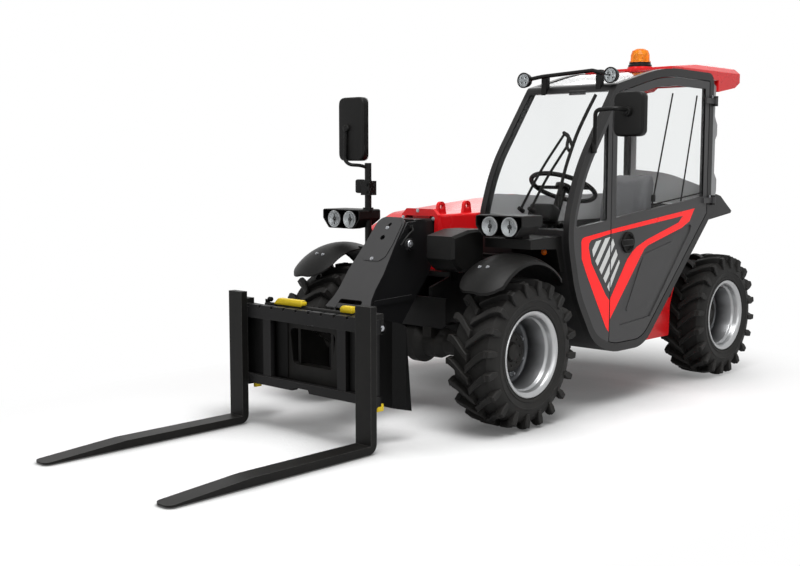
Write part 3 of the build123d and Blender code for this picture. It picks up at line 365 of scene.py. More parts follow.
dust_group, dust_in, dust_out = open_group(
    "Settled dust", [("Amount", 0.2), ("Fades by height", 0.9)], [("Mask", "NodeSocketFloat")])
normal = dust_group.nodes.new("ShaderNodeNewGeometry").outputs["Normal"]
upward = math_node(dust_group, "MULTIPLY_ADD", split_xyz(dust_group, normal)["Z"], 0.5, 0.5, clamp=True)
height = split_xyz(dust_group, own_place(dust_group))["Z"]
low_down = math_node(dust_group, "SUBTRACT", dust_in.outputs["Fades by height"], height, clamp=True)
amount = math_node(dust_group, "ADD", upward, math_node(dust_group, "MULTIPLY", low_down, 0.7))
clotted = math_node(dust_group, "MULTIPLY", amount, noise(dust_group, 14, 5, 0.65))
dust_mask = math_node(dust_group, "MULTIPLY", clotted, dust_in.outputs["Amount"], clamp=True)
dust_group.links.new(dust_mask, dust_out.inputs["Mask"])
print("node groups:", [group.name for group in bpy.data.node_groups])

# %% [markdown]
# ## Painted and moulded finishes
# Paint, textured plastic, rubber and bare steel differ in colour, gloss, grain and how their
# edges are rubbed, not in how they are put together. So one function builds them: a base colour
# that drifts a little in large clouds, a lighter tone on the edges that is partly rubbing and
# partly a painted highlight, dust on top, a roughness that follows the clouds, and a bump from
# the grain.

# %% Coated surfaces


def linear(colour):
    """Screen colour 0-255 to the linear values that a shader takes."""
    return tuple((c / 255 / 12.92) if c <= 10 else ((c / 255 + 0.055) / 1.055) ** 2.4 for c in colour) + (1,)


def use_group(tree, group, **values):
    """Place a node group with its own values."""
    node = tree.nodes.new("ShaderNodeGroup")
    node.node_tree = group
    for label, value in values.items():
        node.inputs[label.replace("_", " ").capitalize()].default_value = value
    return node


def blend_colour(tree, factor, first, second):
    """Mix two colours; each may be a socket or a linear colour."""
    node = tree.nodes.new("ShaderNodeMix")
    node.data_type = "RGBA"
    feed(tree, (node.inputs[0], node.inputs[6], node.inputs[7]), (factor, first, second))
    return node.outputs[2]


def open_finish(name):
    """New finish, with its node tree and its Principled shader."""
    finish = bpy.data.materials.new(name)
    finish.use_nodes = True
    return finish, finish.node_tree, finish.node_tree.nodes["Principled BSDF"]


DUST = linear((104, 100, 94))


def coated(name, colour, rough=0.45, metal=0.0, tone=0.82, grain=900, bump=0.05, cloud=4,
           wear=0.3, worn=None, dust=0.08, coat=0.0, specular=0.22):
    """Finish with drifting tone, edges lightened by rubbing and a painted highlight, dust and fine grain."""
    material, tree, shader = open_finish(name)
    shader.inputs["Metallic"].default_value = metal
    shader.inputs["Coat Weight"].default_value = coat
    shader.inputs["Specular IOR Level"].default_value = specular
    full = linear(colour)
    darker = tuple(c * tone for c in full[:3]) + (1,)
    grain_node = use_group(tree, grain_group, scale=grain, cloud_scale=cloud)
    base = blend_colour(tree, grain_node.outputs["Cloud"], darker, full)
    # The edges take a lighter tone: partly rubbed paint, partly a painted highlight.
    if wear:
        edges = use_group(tree, edge_wear_and_highlight_group, strength=wear)
        lighter = linear(worn) if worn else tuple(min(c * 2.2 + 0.02, 1) for c in full[:3]) + (1,)
        base = blend_colour(tree, edges.outputs["Mask"], base, lighter)
    dirt = use_group(tree, dust_group, amount=dust)
    base = blend_colour(tree, dirt.outputs["Mask"], base, DUST)
    tree.links.new(base, shader.inputs["Base Color"])
    drift = math_node(tree, "MULTIPLY_ADD", grain_node.outputs["Cloud"], 0.16, rough - 0.08)
    dull = math_node(tree, "ADD", drift, math_node(tree, "MULTIPLY", dirt.outputs["Mask"], 0.4), clamp=True)
    tree.links.new(dull, shader.inputs["Roughness"])
    lift = tree.nodes.new("ShaderNodeBump")
    lift.inputs["Strength"].default_value = bump
    lift.inputs["Distance"].default_value = 0.001
    tree.links.new(grain_node.outputs["Height"], lift.inputs["Height"])
    tree.links.new(lift.outputs["Normal"], shader.inputs["Normal"])
    return material


FRAME_PAINT = coated("Frame paint, charcoal", (24, 24, 25), rough=0.36, grain=700, bump=0.1, specular=0.2)
DOOR_PAINT = coated("Door panel, graphite", (57, 57, 58), rough=0.4, grain=900, bump=0.08, wear=0.15)
CAB_PLASTIC = coated("Cab tub, charcoal", (34, 34, 35), rough=0.5, grain=1200, bump=0.2)
# The lining's light grey is partly the panels' own and partly a painted reflection of the cab glass.
LINING_WITH_PAINTED_REFLECTION = coated("Cab lining, grey", (138, 138, 139), rough=0.6, grain=1100, bump=0.3, wear=0.1)
TRIM_GREY = coated("Corner strip, light grey", (150, 151, 152), rough=0.35, grain=700, bump=0.08, wear=0.1)
AXLE_PAINT = coated("Axle casting, black", (10, 10, 10), rough=0.5, grain=350, bump=0.5, dust=0.14)
ENGINE_PAINT = coated("Engine block, grey", (70, 72, 74), rough=0.5, grain=300, bump=0.4, dust=0.4)
RED_PAINT = coated("Body paint, red", (216, 20, 26), rough=0.28, tone=0.94, grain=260, bump=0.03,
                   wear=0.12, worn=(235, 70, 70), dust=0.03, coat=0.12)
BOOM_BLACK = coated("Boom paint, black", (20, 20, 21), rough=0.38, grain=500, bump=0.08)
CARRIAGE_PAINT = coated("Coupler paint, black", (8, 8, 8), rough=0.4, grain=500, bump=0.1, wear=0.3,
                        worn=(60, 60, 59), specular=0.1)
FORK_STEEL = coated("Fork paint, black", (13, 13, 13), rough=0.42, grain=420, bump=0.18, wear=0.6,
                    worn=(90, 89, 87), dust=0.05, specular=0.12)
PLASTIC = coated("Moulded plastic, black", (11, 11, 11), rough=0.42, grain=1500, bump=0.25, wear=0.12,
                 dust=0.04, specular=0.14)
TRIM = coated("Trim rubber, black", (10, 10, 10), rough=0.6, grain=1100, bump=0.2, wear=0.1, specular=0.12)
RUBBER = coated("Tyre rubber", (17, 17, 17), rough=0.62, tone=0.8, grain=520, bump=0.35, cloud=9,
                wear=0.25, worn=(44, 43, 42), dust=0.1, specular=0.2)
CHROME = coated("Cylinder rod, chrome", (215, 216, 218), rough=0.16, metal=1.0, tone=0.97, grain=900,
                bump=0.02, wear=0, dust=0.03)
ZINC = coated("Zinc plated steel", (176, 178, 182), rough=0.34, metal=0.9, tone=0.85, grain=600, bump=0.1,
              wear=0.1, dust=0.05)
YELLOW = coated("Handle paint, yellow", (226, 196, 34), rough=0.4, tone=0.92, grain=500, bump=0.1, wear=0.2,
                worn=(240, 225, 150), dust=0.05)
DECAL_RED = coated("Decal film, red", (252, 28, 28), rough=0.3, tone=0.97, grain=200, bump=0.02,
                   wear=0, dust=0.02)
DECAL_WHITE = coated("Decal film, white", (212, 213, 212), rough=0.35, tone=0.96, grain=200, bump=0.02,
                     wear=0, dust=0.02)
# The red film is given a faint red glow of its own, a painted light that makes it brighter than the lamps
# light it.
film = DECAL_RED.node_tree.nodes["Principled BSDF"]
film.inputs["Emission Color"].default_value = (1, 0, 0, 1)
film.inputs["Emission Strength"].default_value = 0.14
SEAT_CLOTH = coated("Cushion cloth, dark grey", (84, 84, 86), rough=0.85, tone=0.8, grain=2200, bump=0.7,
                    wear=0, dust=0.05)
print("plain finishes:", len(bpy.data.materials))

# %% [markdown]
# ## Finishes with painted shade
# On some castings and frames shade is painted into the colour: a darker tone on sides that look
# away from the light, behind a front face and deep in a wheel. A mask over the surface picks where
# the darker tone goes: by the way a face looks, by how far back it lies, or by how deep it is in the wheel.

# %% Masks and finishes with painted shade


def coated_with_painted_shade(name, colour, dark, mask, **finish):
    """Coated finish with painted shade: its colour falls to a darker one where a mask of the surface is 1."""
    material = coated(name, colour, **finish)
    tree = material.node_tree
    shader = tree.nodes["Principled BSDF"]
    before = shader.inputs["Base Color"].links[0].from_socket
    tree.links.new(blend_colour(tree, mask(tree), before, linear(dark)), shader.inputs["Base Color"])
    return material


def faces_sideways(tree):
    """1 on faces that look across the machine, 0 on those that look forward or up."""
    normal = tree.nodes.new("ShaderNodeNewGeometry").outputs["Normal"]
    return math_node(tree, "ABSOLUTE", split_xyz(tree, normal)["Y"])


def shade_behind_plane(limit):
    """Mask for painted shade: 1 behind a plane across the machine and 0 from 15 mm in front of it."""
    def mask(tree):
        along = split_xyz(tree, own_place(tree))["X"]
        return math_node(tree, "MULTIPLY_ADD", along, -66.0, 66.0 * (limit + 0.015), clamp=True)
    return mask


CARRIAGE_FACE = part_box("fork_left")[0].x


def deep_in_the_rim(tree):
    """0 at the outboard flange of a wheel, rising to 1 at its disc."""
    across = math_node(tree, "SUBTRACT", split_xyz(tree, own_place(tree))["Y"], mid_y)
    outboard = math_node(tree, "ABSOLUTE", across)
    flange = (HALF_TRACK + 108) / 1000
    return math_node(tree, "MULTIPLY_ADD", outboard, -7.5, 7.5 * flange, clamp=True)


# Deep in the rim the silver falls to a dark grey: painted shade and a painted darker reflection inside the
# barrel.
RIM_SILVER = coated_with_painted_shade("Rim paint, silver", (176, 177, 178), (74, 75, 77), deep_in_the_rim, rough=0.3,
                      metal=0.75, tone=0.88, grain=400, bump=0.05, wear=0.1, dust=0.05)
# The boom head's faces that look across the machine are darker than its nose plate: painted shade on its
# sides.
HEAD_PAINT = coated_with_painted_shade("Boom head paint", (57, 57, 58), (17, 17, 18), faces_sideways, rough=0.4, grain=500,
                      bump=0.08, wear=0.2)
# The carriage falls to near black behind its front face: painted shade inside it.
GATE_PAINT = coated_with_painted_shade("Fork carriage paint", (25, 25, 26), (3, 3, 3), shade_behind_plane(CARRIAGE_FACE + 0.018),
                      rough=0.4, grain=500, bump=0.1, wear=0.3, worn=(78, 77, 76), dust=0.04, specular=0.1)
print("coated finishes:", len(bpy.data.materials))

# %% [markdown]
# ## Glass and lenses
# Window glass is clear with a faint grey tint. Light that only casts a shadow is let through
# unbent, as thin glass does, so the cab isn't dark inside. Lamp lenses are clear plastic, and
# the beacon's dome is amber and lets light through.

# %% Clear finishes


def mix_shaders(tree, factor, first, second):
    """Send a mix of two shaders to the material's output."""
    node = tree.nodes.new("ShaderNodeMixShader")
    feed(tree, node.inputs, (factor, first.outputs[0], second.outputs[0]))
    tree.links.new(node.outputs[0], tree.nodes["Material Output"].inputs["Surface"])


def clear(name, colour, rough=0.02, ior=1.45, passes=0.75, body=0.0):
    """Transparent finish whose shadow is only a tint."""
    material, tree, shader = open_finish(name)
    shader.inputs["Transmission Weight"].default_value = 1 - body
    shader.inputs["IOR"].default_value = ior
    smear = math_node(tree, "MULTIPLY_ADD", noise(tree, 6, 5), 0.04, rough)
    tree.links.new(smear, shader.inputs["Roughness"])
    tinted = linear(colour)
    tone = blend_colour(tree, noise(tree, 2, 2), tinted, tuple(c * 0.96 for c in tinted[:3]) + (1,))
    tree.links.new(tone, shader.inputs["Base Color"])
    unbent = tree.nodes.new("ShaderNodeBsdfTransparent")
    unbent.inputs["Color"].default_value = (passes, passes, passes, 1)
    ray = tree.nodes.new("ShaderNodeLightPath")
    mix_shaders(tree, ray.outputs["Is Shadow Ray"], shader, unbent)
    return material


GLASS = clear("Window glass, grey tint", (248, 249, 249), ior=1.08)
LENS = clear("Lamp lens, clear", (222, 224, 225), rough=0.04, ior=1.3, passes=0.9)
AMBER = clear("Beacon dome, amber", (255, 150, 40), rough=0.2, ior=1.2, passes=0.6, body=0.45)
AMBER_LAMP = coated("Indicator lens, amber", (224, 104, 12), rough=0.2, tone=0.9, bump=0.02,
                    wear=0, coat=0.6)
LAMP_WHITE = coated("Reflector, bright", (178, 180, 181), rough=0.3, metal=0.7, tone=0.7, cloud=60, bump=0.02,
                    wear=0, dust=0.0)
MIRROR = coated("Mirror glass", (220, 224, 226), rough=0.05, metal=1.0, tone=0.98, bump=0.0,
                wear=0, dust=0.0)
print("all finishes:", len(bpy.data.materials))

# %% [markdown]
# ## Finish of each solid
# Each CAD solid keeps its mesh and takes a finish. The table goes by solid, so that two solids
# that the record gives the same slot can still differ.

# %% Dress the solids
DRESS = {
    FRAME_PAINT: ["chassis", "cab_frame", "rear_cover", "counterweight", "tow_hitch", "rear_lamps"],
    CAB_PLASTIC: ["cab_tub", "side_pod"],
    DOOR_PAINT: ["door", "quarter_panel"],
    AXLE_PAINT: ["front_axle", "rear_axle"],
    ENGINE_PAINT: ["engine_block"],
    RED_PAINT: ["roof", "hood", "side_tank", "boom_outer", "lifting_eyes"],
    BOOM_BLACK: ["boom_inner", "lift_barrel", "tilt_barrel"],
    HEAD_PAINT: ["boom_head"],
    GATE_PAINT: ["carriage"],
    CARRIAGE_PAINT: ["coupler"],
    FORK_STEEL: ["fork_left", "fork_right"],
    PLASTIC: ["front_fenders", "front_cowl", "front_lamps", "mirrors", "roof_lamps"],
    TRIM: ["steering_wheel"],
    CHROME: ["lift_rod", "tilt_rod"],
    GLASS: ["side_glass", "windshield", "rear_window", "door_glass"],
    SEAT_CLOTH: ["seat"],
    AMBER: ["beacon"],
    RUBBER: ["tyre_" + corner for corner in CORNERS],
    RIM_SILVER: ["rim_" + corner for corner in CORNERS],
}
for corner in CORNERS:
    DRESS[AXLE_PAINT].append("knuckle_" + corner)
for material, nodes in DRESS.items():
    for node in nodes:
        for material_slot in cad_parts[node].material_slots:
            material_slot.material = material
left_over = set(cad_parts) - {node for nodes in DRESS.values() for node in nodes}
print("solids dressed:", len(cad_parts), "left over:", sorted(left_over))

# %% [markdown]
# ## Field tyres
# A field tyre has a rounded carcass and two rows of chevron lugs that meet near the middle and
# run out over the shoulder, where each ends in a block that grips on the side. The carcass is a
# profile spun about the axle. One lug is an extruded outline with chamfered edges, wrapped onto
# the crown and copied round, which keeps the count of faces low and every lug alike.

# %% Tyre
LUGS = 20
CROWN_R = TYRE_R - 33
TYRE_HALF = 132
BEAD_R = 197.5


def wrap_on_wheel(verts, crown_drop):
    """Bend flat lugs, drawn with z as radius, round the axle; the tread falls towards its edge."""
    for vert in verts:
        turn = vert.co.x / (TYRE_R - 16)
        radius = vert.co.z - crown_drop * (abs(vert.co.y) / TYRE_HALF) ** 3
        vert.co.x, vert.co.z = radius * math.sin(turn), radius * math.cos(turn)


def add_lug(bm):
    """One chevron lug and its shoulder block, on the outboard side."""
    front = [(58, -6), (36, 18), (12, 50), (-14, 82), (-28, 112)]
    rear = [(-62, 112), (-50, 82), (-24, 48), (2, 20), (22, -6)]
    bar = add_plate(bm, front + rear, CROWN_R - 8, TYRE_R - 4, across="z")
    top = max({face for vert in bar for face in vert.link_faces}, key=lambda f: f.calc_center_median().z)
    bmesh.ops.inset_region(bm, faces=[top], thickness=4, depth=4)
    cheek = [(-68, 342), (-60, TYRE_R - 5), (-30, TYRE_R - 5), (-26, 342), (-36, 302), (-60, 302)]
    block = add_plate(bm, cheek, 100, TYRE_HALF - 2, across="y")
    side = max({face for vert in block for face in vert.link_faces}, key=lambda f: f.calc_center_median().y)
    bmesh.ops.inset_region(bm, faces=[side], thickness=5, depth=5)


def field_tyre():
    """Tyre about the origin, axle along y, outboard towards +y."""
    bm = bmesh.new()
    side = [(TYRE_HALF - 26, BEAD_R), (TYRE_HALF - 18, BEAD_R + 12), (TYRE_HALF - 15, BEAD_R + 24),
            (TYRE_HALF - 8, BEAD_R + 30), (TYRE_HALF - 6, BEAD_R + 40), (TYRE_HALF - 9, BEAD_R + 43),
            (TYRE_HALF - 3, 268), (TYRE_HALF - 1, 270), (TYRE_HALF - 1, 275), (TYRE_HALF - 3, 277),
            (TYRE_HALF - 5, 300), (TYRE_HALF - 13, 322), (TYRE_HALF - 30, CROWN_R - 6), (60, CROWN_R)]
    lining = [(TYRE_HALF - 34, CROWN_R - 40), (TYRE_HALF - 22, 290), (TYRE_HALF - 22, 235),
              (TYRE_HALF - 32, BEAD_R)]
    profile = side + [(-y, r) for y, r in reversed(side)] + [(-y, r) for y, r in reversed(lining)] + lining
    add_turned(bm, profile + side[:1], (0, 0, 0), "y", 90)
    bmesh.ops.remove_doubles(bm, verts=bm.verts, dist=0.05)
    for row in (1, -1):
        for step in range(LUGS):
            lug = bmesh.new()
            add_lug(lug)
            wrap_on_wheel(lug.verts, crown_drop=7)
            bmesh.ops.scale(lug, vec=(1, row, 1), verts=lug.verts)
            if row < 0:
                bmesh.ops.reverse_faces(lug, faces=lug.faces)
            shift = step + (0.5 if row < 0 else 0)
            turn_all(lug, shift * 360 / LUGS, "Y")
            add_from(bm, lug)
    return bm


def to_wheel(bm, corner, flip=False):
    """Move a shape drawn about the origin to a wheel; right-hand rims are turned over."""
    if flip and CORNERS[corner] < 0:
        bmesh.ops.scale(bm, vec=(1, -1, 1), verts=bm.verts)
        bmesh.ops.reverse_faces(bm, faces=bm.faces)
    bmesh.ops.translate(bm, vec=TO_FRAME.inverted() @ centres[corner], verts=bm.verts)


for corner in CORNERS:
    bm = field_tyre()
    to_wheel(bm, corner)
    tyre = piece("field_tyre_" + corner, bm, RUBBER, "wheel_" + corner, "tyre", sharp=28)
    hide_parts("tyre_" + corner)
print("tyre faces:", len(tyre.data.polygons))

# %% [markdown]
# ## Dished rims
# The rim is rolled sheet steel: a rounded flange, a step for the bead, a deep barrel and a disc
# far inboard. Spinning one closed profile gives it all at once. The hub drum in the middle is
# a dark casting with its own bolts, so it is a separate piece, and so are the wheel bolts.

# %% Rims and hubs
DISC_Y = -46
BOLT_CIRCLE = 130
COVER_CIRCLE = 72


def round_axle(count, radius, level, first=0.0):
    """Points spaced evenly round the axle, at a radius and a level along it."""
    turns = [(step + first) * math.tau / count for step in range(count)]
    return [Vector((radius * math.sin(turn), level, radius * math.cos(turn))) for turn in turns]


def dished_rim():
    """Rim about the origin, outboard towards +y."""
    bm = bmesh.new()
    outer = [(101, 196.5), (108, 203), (112, 212), (116, 217), (121, 218), (124, 214), (122, 207), (116, 200),
             (110, 194), (104, 191), (84, 189), (78, 186), (73, 180), (68, 177), (-30, 172), (-38, 168),
             (DISC_Y + 2, 158), (DISC_Y, 150), (DISC_Y, 96)]
    back = [(DISC_Y - 10, 96), (DISC_Y - 10, 158), (-66, 172), (-88, 184), (-104, 191), (-114, 200),
            (-120, 208), (-120, 215), (-114, 217), (-108, 212), (-104, 203), (-99, 196.5)]
    add_turned(bm, outer + back + outer[:1], (0, 0, 0), "y", 96)
    bmesh.ops.remove_doubles(bm, verts=bm.verts, dist=0.05)
    guard = bmesh.new()
    add_box(guard, (-18, 20, 158), (18, 66, 176), 5, 3)
    turn_all(guard, 24, "Y")
    add_from(bm, guard)
    return bm


def wheel_hub():
    """Planetary hub drum with its cover bolts, outboard towards +y."""
    bm = bmesh.new()
    drum = [(DISC_Y - 16, 0), (DISC_Y - 16, 108), (DISC_Y + 6, 108), (DISC_Y + 8, 104), (-8, 102), (-3, 97),
            (-2, 92), (-6, 88), (-7, 52), (-3, 48), (10, 44), (14, 38), (15, 0)]
    add_turned(bm, drum, (0, 0, 0), "y", 64)
    for spot in round_axle(10, COVER_CIRCLE, -7):
        add_bolt(bm, spot, (0, 1, 0), 11)
    return bm


def wheel_bolts():
    """Eight wheel bolts on the disc, their threads standing out of the nuts."""
    bm = bmesh.new()
    for spot in round_axle(8, BOLT_CIRCLE, DISC_Y, first=0.5):
        add_bolt(bm, spot, (0, 1, 0), 20)
        add_rod(bm, spot, spot + Vector((0, 20, 0)), 7, sides=14)
    return bm


for corner in CORNERS:
    for name, build, material, slot in (("dished_rim_", dished_rim, RIM_SILVER, "rim_silver"),
                                        ("wheel_hub_", wheel_hub, AXLE_PAINT, "axle_black"),
                                        ("wheel_bolts_", wheel_bolts, ZINC, "rim_silver")):
        bm = build()
        to_wheel(bm, corner, flip=True)
        made = piece(name + corner, bm, material, "wheel_" + corner, slot)
        if build is dished_rim:
            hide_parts("rim_" + corner)
print("wheels dressed:", len(CORNERS))

# %% [markdown]
# ## Door and quarter panel
# The stripe round the door is film stuck on the paint: a red band in a triangle, split where
# the door ends, with a row of slanting white bars inside its front corner. Film is cut flat, so
# each band is a thin outline given a little thickness, on the body of the panel that it is on.
# The door's paddle lies across a round cup, as a bar with rounded edges in a raised ring.

# %% Stripe, bars and paddle
PANEL_FACE = span("quarter_panel")[1].y
SPLIT_X = span("quarter_panel")[0].x - 4
FILM = 0.8
film_y = PANEL_FACE + 0.2
FRONT_EDGE, DOOR_EDGE = SPLIT_X + 5, SPLIT_X - 5
stripe_front = [(FRONT_EDGE, 972), (571, 944), (590, 936), (597, 921), (592, 833), (539, 740), (352, 447),
                (FRONT_EDGE, 420), (FRONT_EDGE, 592), (356, 620), (500, 800), (530, 884), (526, 910),
                (508, 926), (FRONT_EDGE, 952)]
stripe_door = [(DOOR_EDGE, 975), (-586, 1062), (-529, 988), (-438, 952), (-66, 869), (-28, 852), (1, 822),
               (DOOR_EDGE, 488), (DOOR_EDGE, 600), (149, 803), (100, 842), (50, 868), (-57, 903),
               (-400, 984), (-452, 1022), (DOOR_EDGE, 952)]
for name, outline, body in (("stripe_front", stripe_front, "chassis"), ("stripe_door", stripe_door, "door")):
    bm = bmesh.new()
    add_plate(bm, outline, film_y, film_y + FILM)
    piece(name, bm, DECAL_RED, body, "red")


FIRST_BAR, BAR_STEP, BAR_WIDTH, BARS = Vector((490, 0, 880)), Vector((-66, 0, -16)), 34, 6


def slanting_bars(name, region, body):
    """Bars of white film: a region cut into slanting strips."""
    bm = bmesh.new()
    across = Vector((1, 0, 0.80)).normalized()
    for step in range(BARS):
        strip = bmesh.new()
        add_plate(strip, region, film_y, film_y + FILM)
        edge = FIRST_BAR + BAR_STEP * step
        for spot, way in ((edge, across), (edge - across * BAR_WIDTH, -across)):
            everything = strip.verts[:] + strip.edges[:] + strip.faces[:]
            bmesh.ops.bisect_plane(strip, geom=everything, plane_co=spot, plane_no=way, clear_outer=True)
            cut = [side for side in strip.edges if len(side.link_faces) == 1]
            bmesh.ops.holes_fill(strip, edges=cut)
        add_from(bm, strip)
    return piece(name, bm, DECAL_WHITE, body)


slanting_bars("bars_front", [(FRONT_EDGE, 935), (508, 911), (484, 838), (FRONT_EDGE, 640)], "chassis")
slanting_bars("bars_door", [(DOOR_EDGE, 940), (300, 930), (225, 790), (DOOR_EDGE, 660)], "door")

cup_at = (152, PANEL_FACE, 897)
bm = bmesh.new()
add_turned(bm, [(0.3, 0), (0.3, 46.5), (2, 46.5), (2.6, 44), (2.6, 0)], cup_at, steps=40)
add_box(bm, (108, PANEL_FACE + 1, 879), (224, PANEL_FACE + 18, 915), 9, 3)
add_turned(bm, [(10, 46.9), (12, 46.9), (12.4, 51), (12, 58.4), (0.2, 58.4)], cup_at, steps=40)
piece("door_handle", bm, TRIM, "door", "trim_black")
print("on the door and panel:", [made.name for made in FINISHED[-5:]])

# %% [markdown]
# ## Lamps
# A work lamp is a bright bowl with a bulb shield in its middle, behind a domed clear lens. Each
# is round, so each is a profile spun about the axis that points forward. The lamps on the roof
# hold four small light chips in bright cups under a flat lens. The beacon stands on a black
# socket, and inside its dome a bright reflector shows.

# %% Work lamps, roof lamps and beacon
LAMP_X = span("front_lamps")[1].x - 12
WORK_LAMPS = [(LAMP_X, side + step, 1014) for side in (564, -564) for step in (-62, 62)]
ROOF_LAMPS = [(352, 172, 1790), (300, 705, 1795)]
BOWL = [(0.4, 8), (1.2, 18), (3.5, 30), (7.5, 39), (8.5, 44), (8, 48), (0.4, 48)]
DOME = [(8.6, 45), (10, 40), (11.2, 24), (11.8, 0), (10.4, 0), (9.8, 23), (8.7, 39), (8.6, 45)]
bowls, shields, lenses = bmesh.new(), bmesh.new(), bmesh.new()
for centre in map(Vector, WORK_LAMPS):
    add_turned(bowls, BOWL, centre, "x", 48)
    add_turned(shields, [(0.4, 12), (5, 12), (7, 9), (7.5, 0)], centre, "x", 24)
    add_box(shields, centre + Vector((1, -3, -30)), centre + Vector((5, 3, 30)), 1)
    add_turned(lenses, DOME, centre, "x", 48)
for centre in map(Vector, ROOF_LAMPS):
    add_turned(bowls, [(8.3, 0), (8.3, 36.5), (9.5, 36.5), (9.5, 0)], centre, "x", 32)
    for across, up in ((-14, -14), (-14, 14), (14, -14), (14, 14)):
        chip = centre + Vector((0, across, up))
        add_turned(shields, [(9.6, 4.5), (10.6, 4.5), (10.8, 0)], chip, "x", 12)
        add_turned(bowls, [(9.6, 6), (10.6, 10), (11, 12), (9.6, 12.4)], chip, "x", 20)
    add_turned(lenses, [(11.4, 0), (11.4, 36.8), (13.2, 36.8), (13.2, 0)], centre, "x", 32)
piece("lamp_bowls", bowls, LAMP_WHITE, "chassis", "chrome_rod")
piece("lamp_shields", shields, PLASTIC, "chassis", "plastic_black")
piece("lamp_lenses", lenses, LENS, "chassis", "glass")

beacon_low, beacon_high = span("beacon")
beacon_at = Vector(((beacon_low.x + beacon_high.x) / 2, (beacon_low.y + beacon_high.y) / 2, beacon_low.z))
bm = bmesh.new()
add_turned(bm, [(0.5, 68.4), (12, 68.6), (17, 63), (27, 62.8), (28, 61)], beacon_at, "z", 64)
piece("beacon_socket", bm, PLASTIC, "chassis", "plastic_black")
bm = bmesh.new()
add_turned(bm, [(36, 0), (36, 34), (48, 30), (70, 30), (78, 16), (78, 0)], beacon_at, "z", 32)
for turn in range(3):
    rib = bmesh.new()
    add_box(rib, beacon_at + Vector((-33, -1.5, 40)), beacon_at + Vector((33, 1.5, 84)), 1)
    turn_all(rib, turn * 60, "Z", beacon_at)
    add_from(bm, rib)
piece("beacon_reflector", bm, LAMP_WHITE, "chassis", "chrome_rod")

# %% [markdown]
# ## Mirrors
# Each housing is moulded: a shallow box with round corners and a crowned back, which takes the
# place of the plainer mirrors of the model. The glass is a thin bright plate inside a narrow
# lip of rubber. Both are carried by bent tubes; the right one is clamped to the lamp post.

# %% Mirror housings, glass and arms


def round_corners(points, steps=6):
    """Outline of (a, b, reach): each corner becomes a short curve that starts reach before it."""
    spots = [Vector((a, b)) for a, b, _ in points]
    line = []
    for place, (_, _, reach) in enumerate(points):
        here = spots[place]
        into, out = spots[place - 1] - here, spots[(place + 1) % len(spots)] - here
        near = min(reach, into.length / 2.05, out.length / 2.05)
        first, last = here + into.normalized() * near, here + out.normalized() * near
        for step in range(steps):
            t = step / (steps - 1)
            line.append(tuple(first * (1 - t) ** 2 + here * 2 * t * (1 - t) + last * t * t))
    return line


def rounded_box(low_a, high_a, low_b, high_b, reach):
    """Rectangle with rounded corners, as an outline."""
    corners = [(low_a, low_b), (high_a, low_b), (high_a, high_b), (low_a, high_b)]
    return round_corners([(a, b, reach) for a, b in corners])


def add_seal(bm, points, width, low, high, across="y"):
    """Flat ring along an outline: a face, inset, its middle taken out, then thickened."""
    face = flat_face(bm, points, low, across)
    inset = bmesh.ops.inset_region(bm, faces=[face], thickness=width, use_boundary=True, use_even_offset=True)
    bmesh.ops.delete(bm, geom=[face], context="FACES_ONLY")
    thicken(bm, inset["faces"], across, high - low)


MIRRORS = [  # back of the housing, right and left edge, foot and top
    (420, 823, 1001, 1465, 1694),
    (1020, -600, -403, 1341, 1694),
]
glasses, lips, bm = bmesh.new(), bmesh.new(), bmesh.new()
for back, right, left, foot, top in MIRRORS:
    glass = rounded_box(right + 9, left - 9, foot + 9, top - 9, 26)
    add_plate(glasses, glass, back - 1.2, back - 0.2, across="x")
    lip = rounded_box(right + 2, left - 2, foot + 2, top - 2, 32)
    add_seal(lips, lip, 8, back - 3.5, back, across="x")
    shell = bmesh.new()
    add_plate(shell, rounded_box(right, left, foot, top, 44), back, back + 43, across="x")
    domed = max(shell.faces, key=lambda f: f.calc_center_median().x)
    bmesh.ops.bevel(shell, geom=list(domed.edges), offset=13, segments=4, affect="EDGES",
                    profile=0.5, material=-1)
    add_from(bm, shell)
piece("mirror_glasses", glasses, MIRROR, "chassis", "chrome_rod")
piece("mirror_lips", lips, TRIM, "chassis", "trim_black")
add_tube(bm, [(512, 748, 1428), (575, 790, 1600), (552, 905, 1606), (482, 915, 1600)], 11, 30)
add_rod(bm, (455, 912, 1590), (484, 912, 1590), 27, 22, 32, 5)
add_rod(bm, (484, 912, 1590), (492, 912, 1590), 15, 13, 24, 2)
add_box(bm, (492, 735.6, 1380), (528, 752, 1470), 6, 3)
right_arm = [(985, -440, 1238), (985, -440, 1302), (1030, -450, 1316), (1073, -500, 1320),
             (1074, -536, 1344), (1070, -533, 1500)]
add_tube(bm, right_arm, 10, 30)
add_rod(bm, (1062, -529, 1522), (1078, -529, 1522), 24, 19, 32, 4)
mirror_housings = piece("mirror_housings", bm, PLASTIC, "chassis", "plastic_black")
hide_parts("mirrors")
bm = bmesh.new()
add_box(bm, (962, -528, 1160), (1006, -474, 1238), 12, 3)
add_rod(bm, (985, -440, 1228), (985, -440, 1262), 21, 15)
for height in (1168, 1210):
    add_bolt(bm, (1013, -424, height), (1, 0, 0), 13)
add_tube(bm, [(985, -452, 985), (905, -470, 905), (930, -468, 872)], 12, 40)
piece("mirror_clamp", bm, PLASTIC, "chassis", "plastic_black")
print("lamps and mirrors done:", len(FINISHED))

# %% [markdown]
# ## Windows
# The panes are solids. Each sits in a black rubber seal, cut here along the pane's outline. The
# door's pane has two slanting slide bars with a latch, and a wiper with two parallel arms
# stands on the screen. The wiper's parts are tubes that bow outwards with the glass.

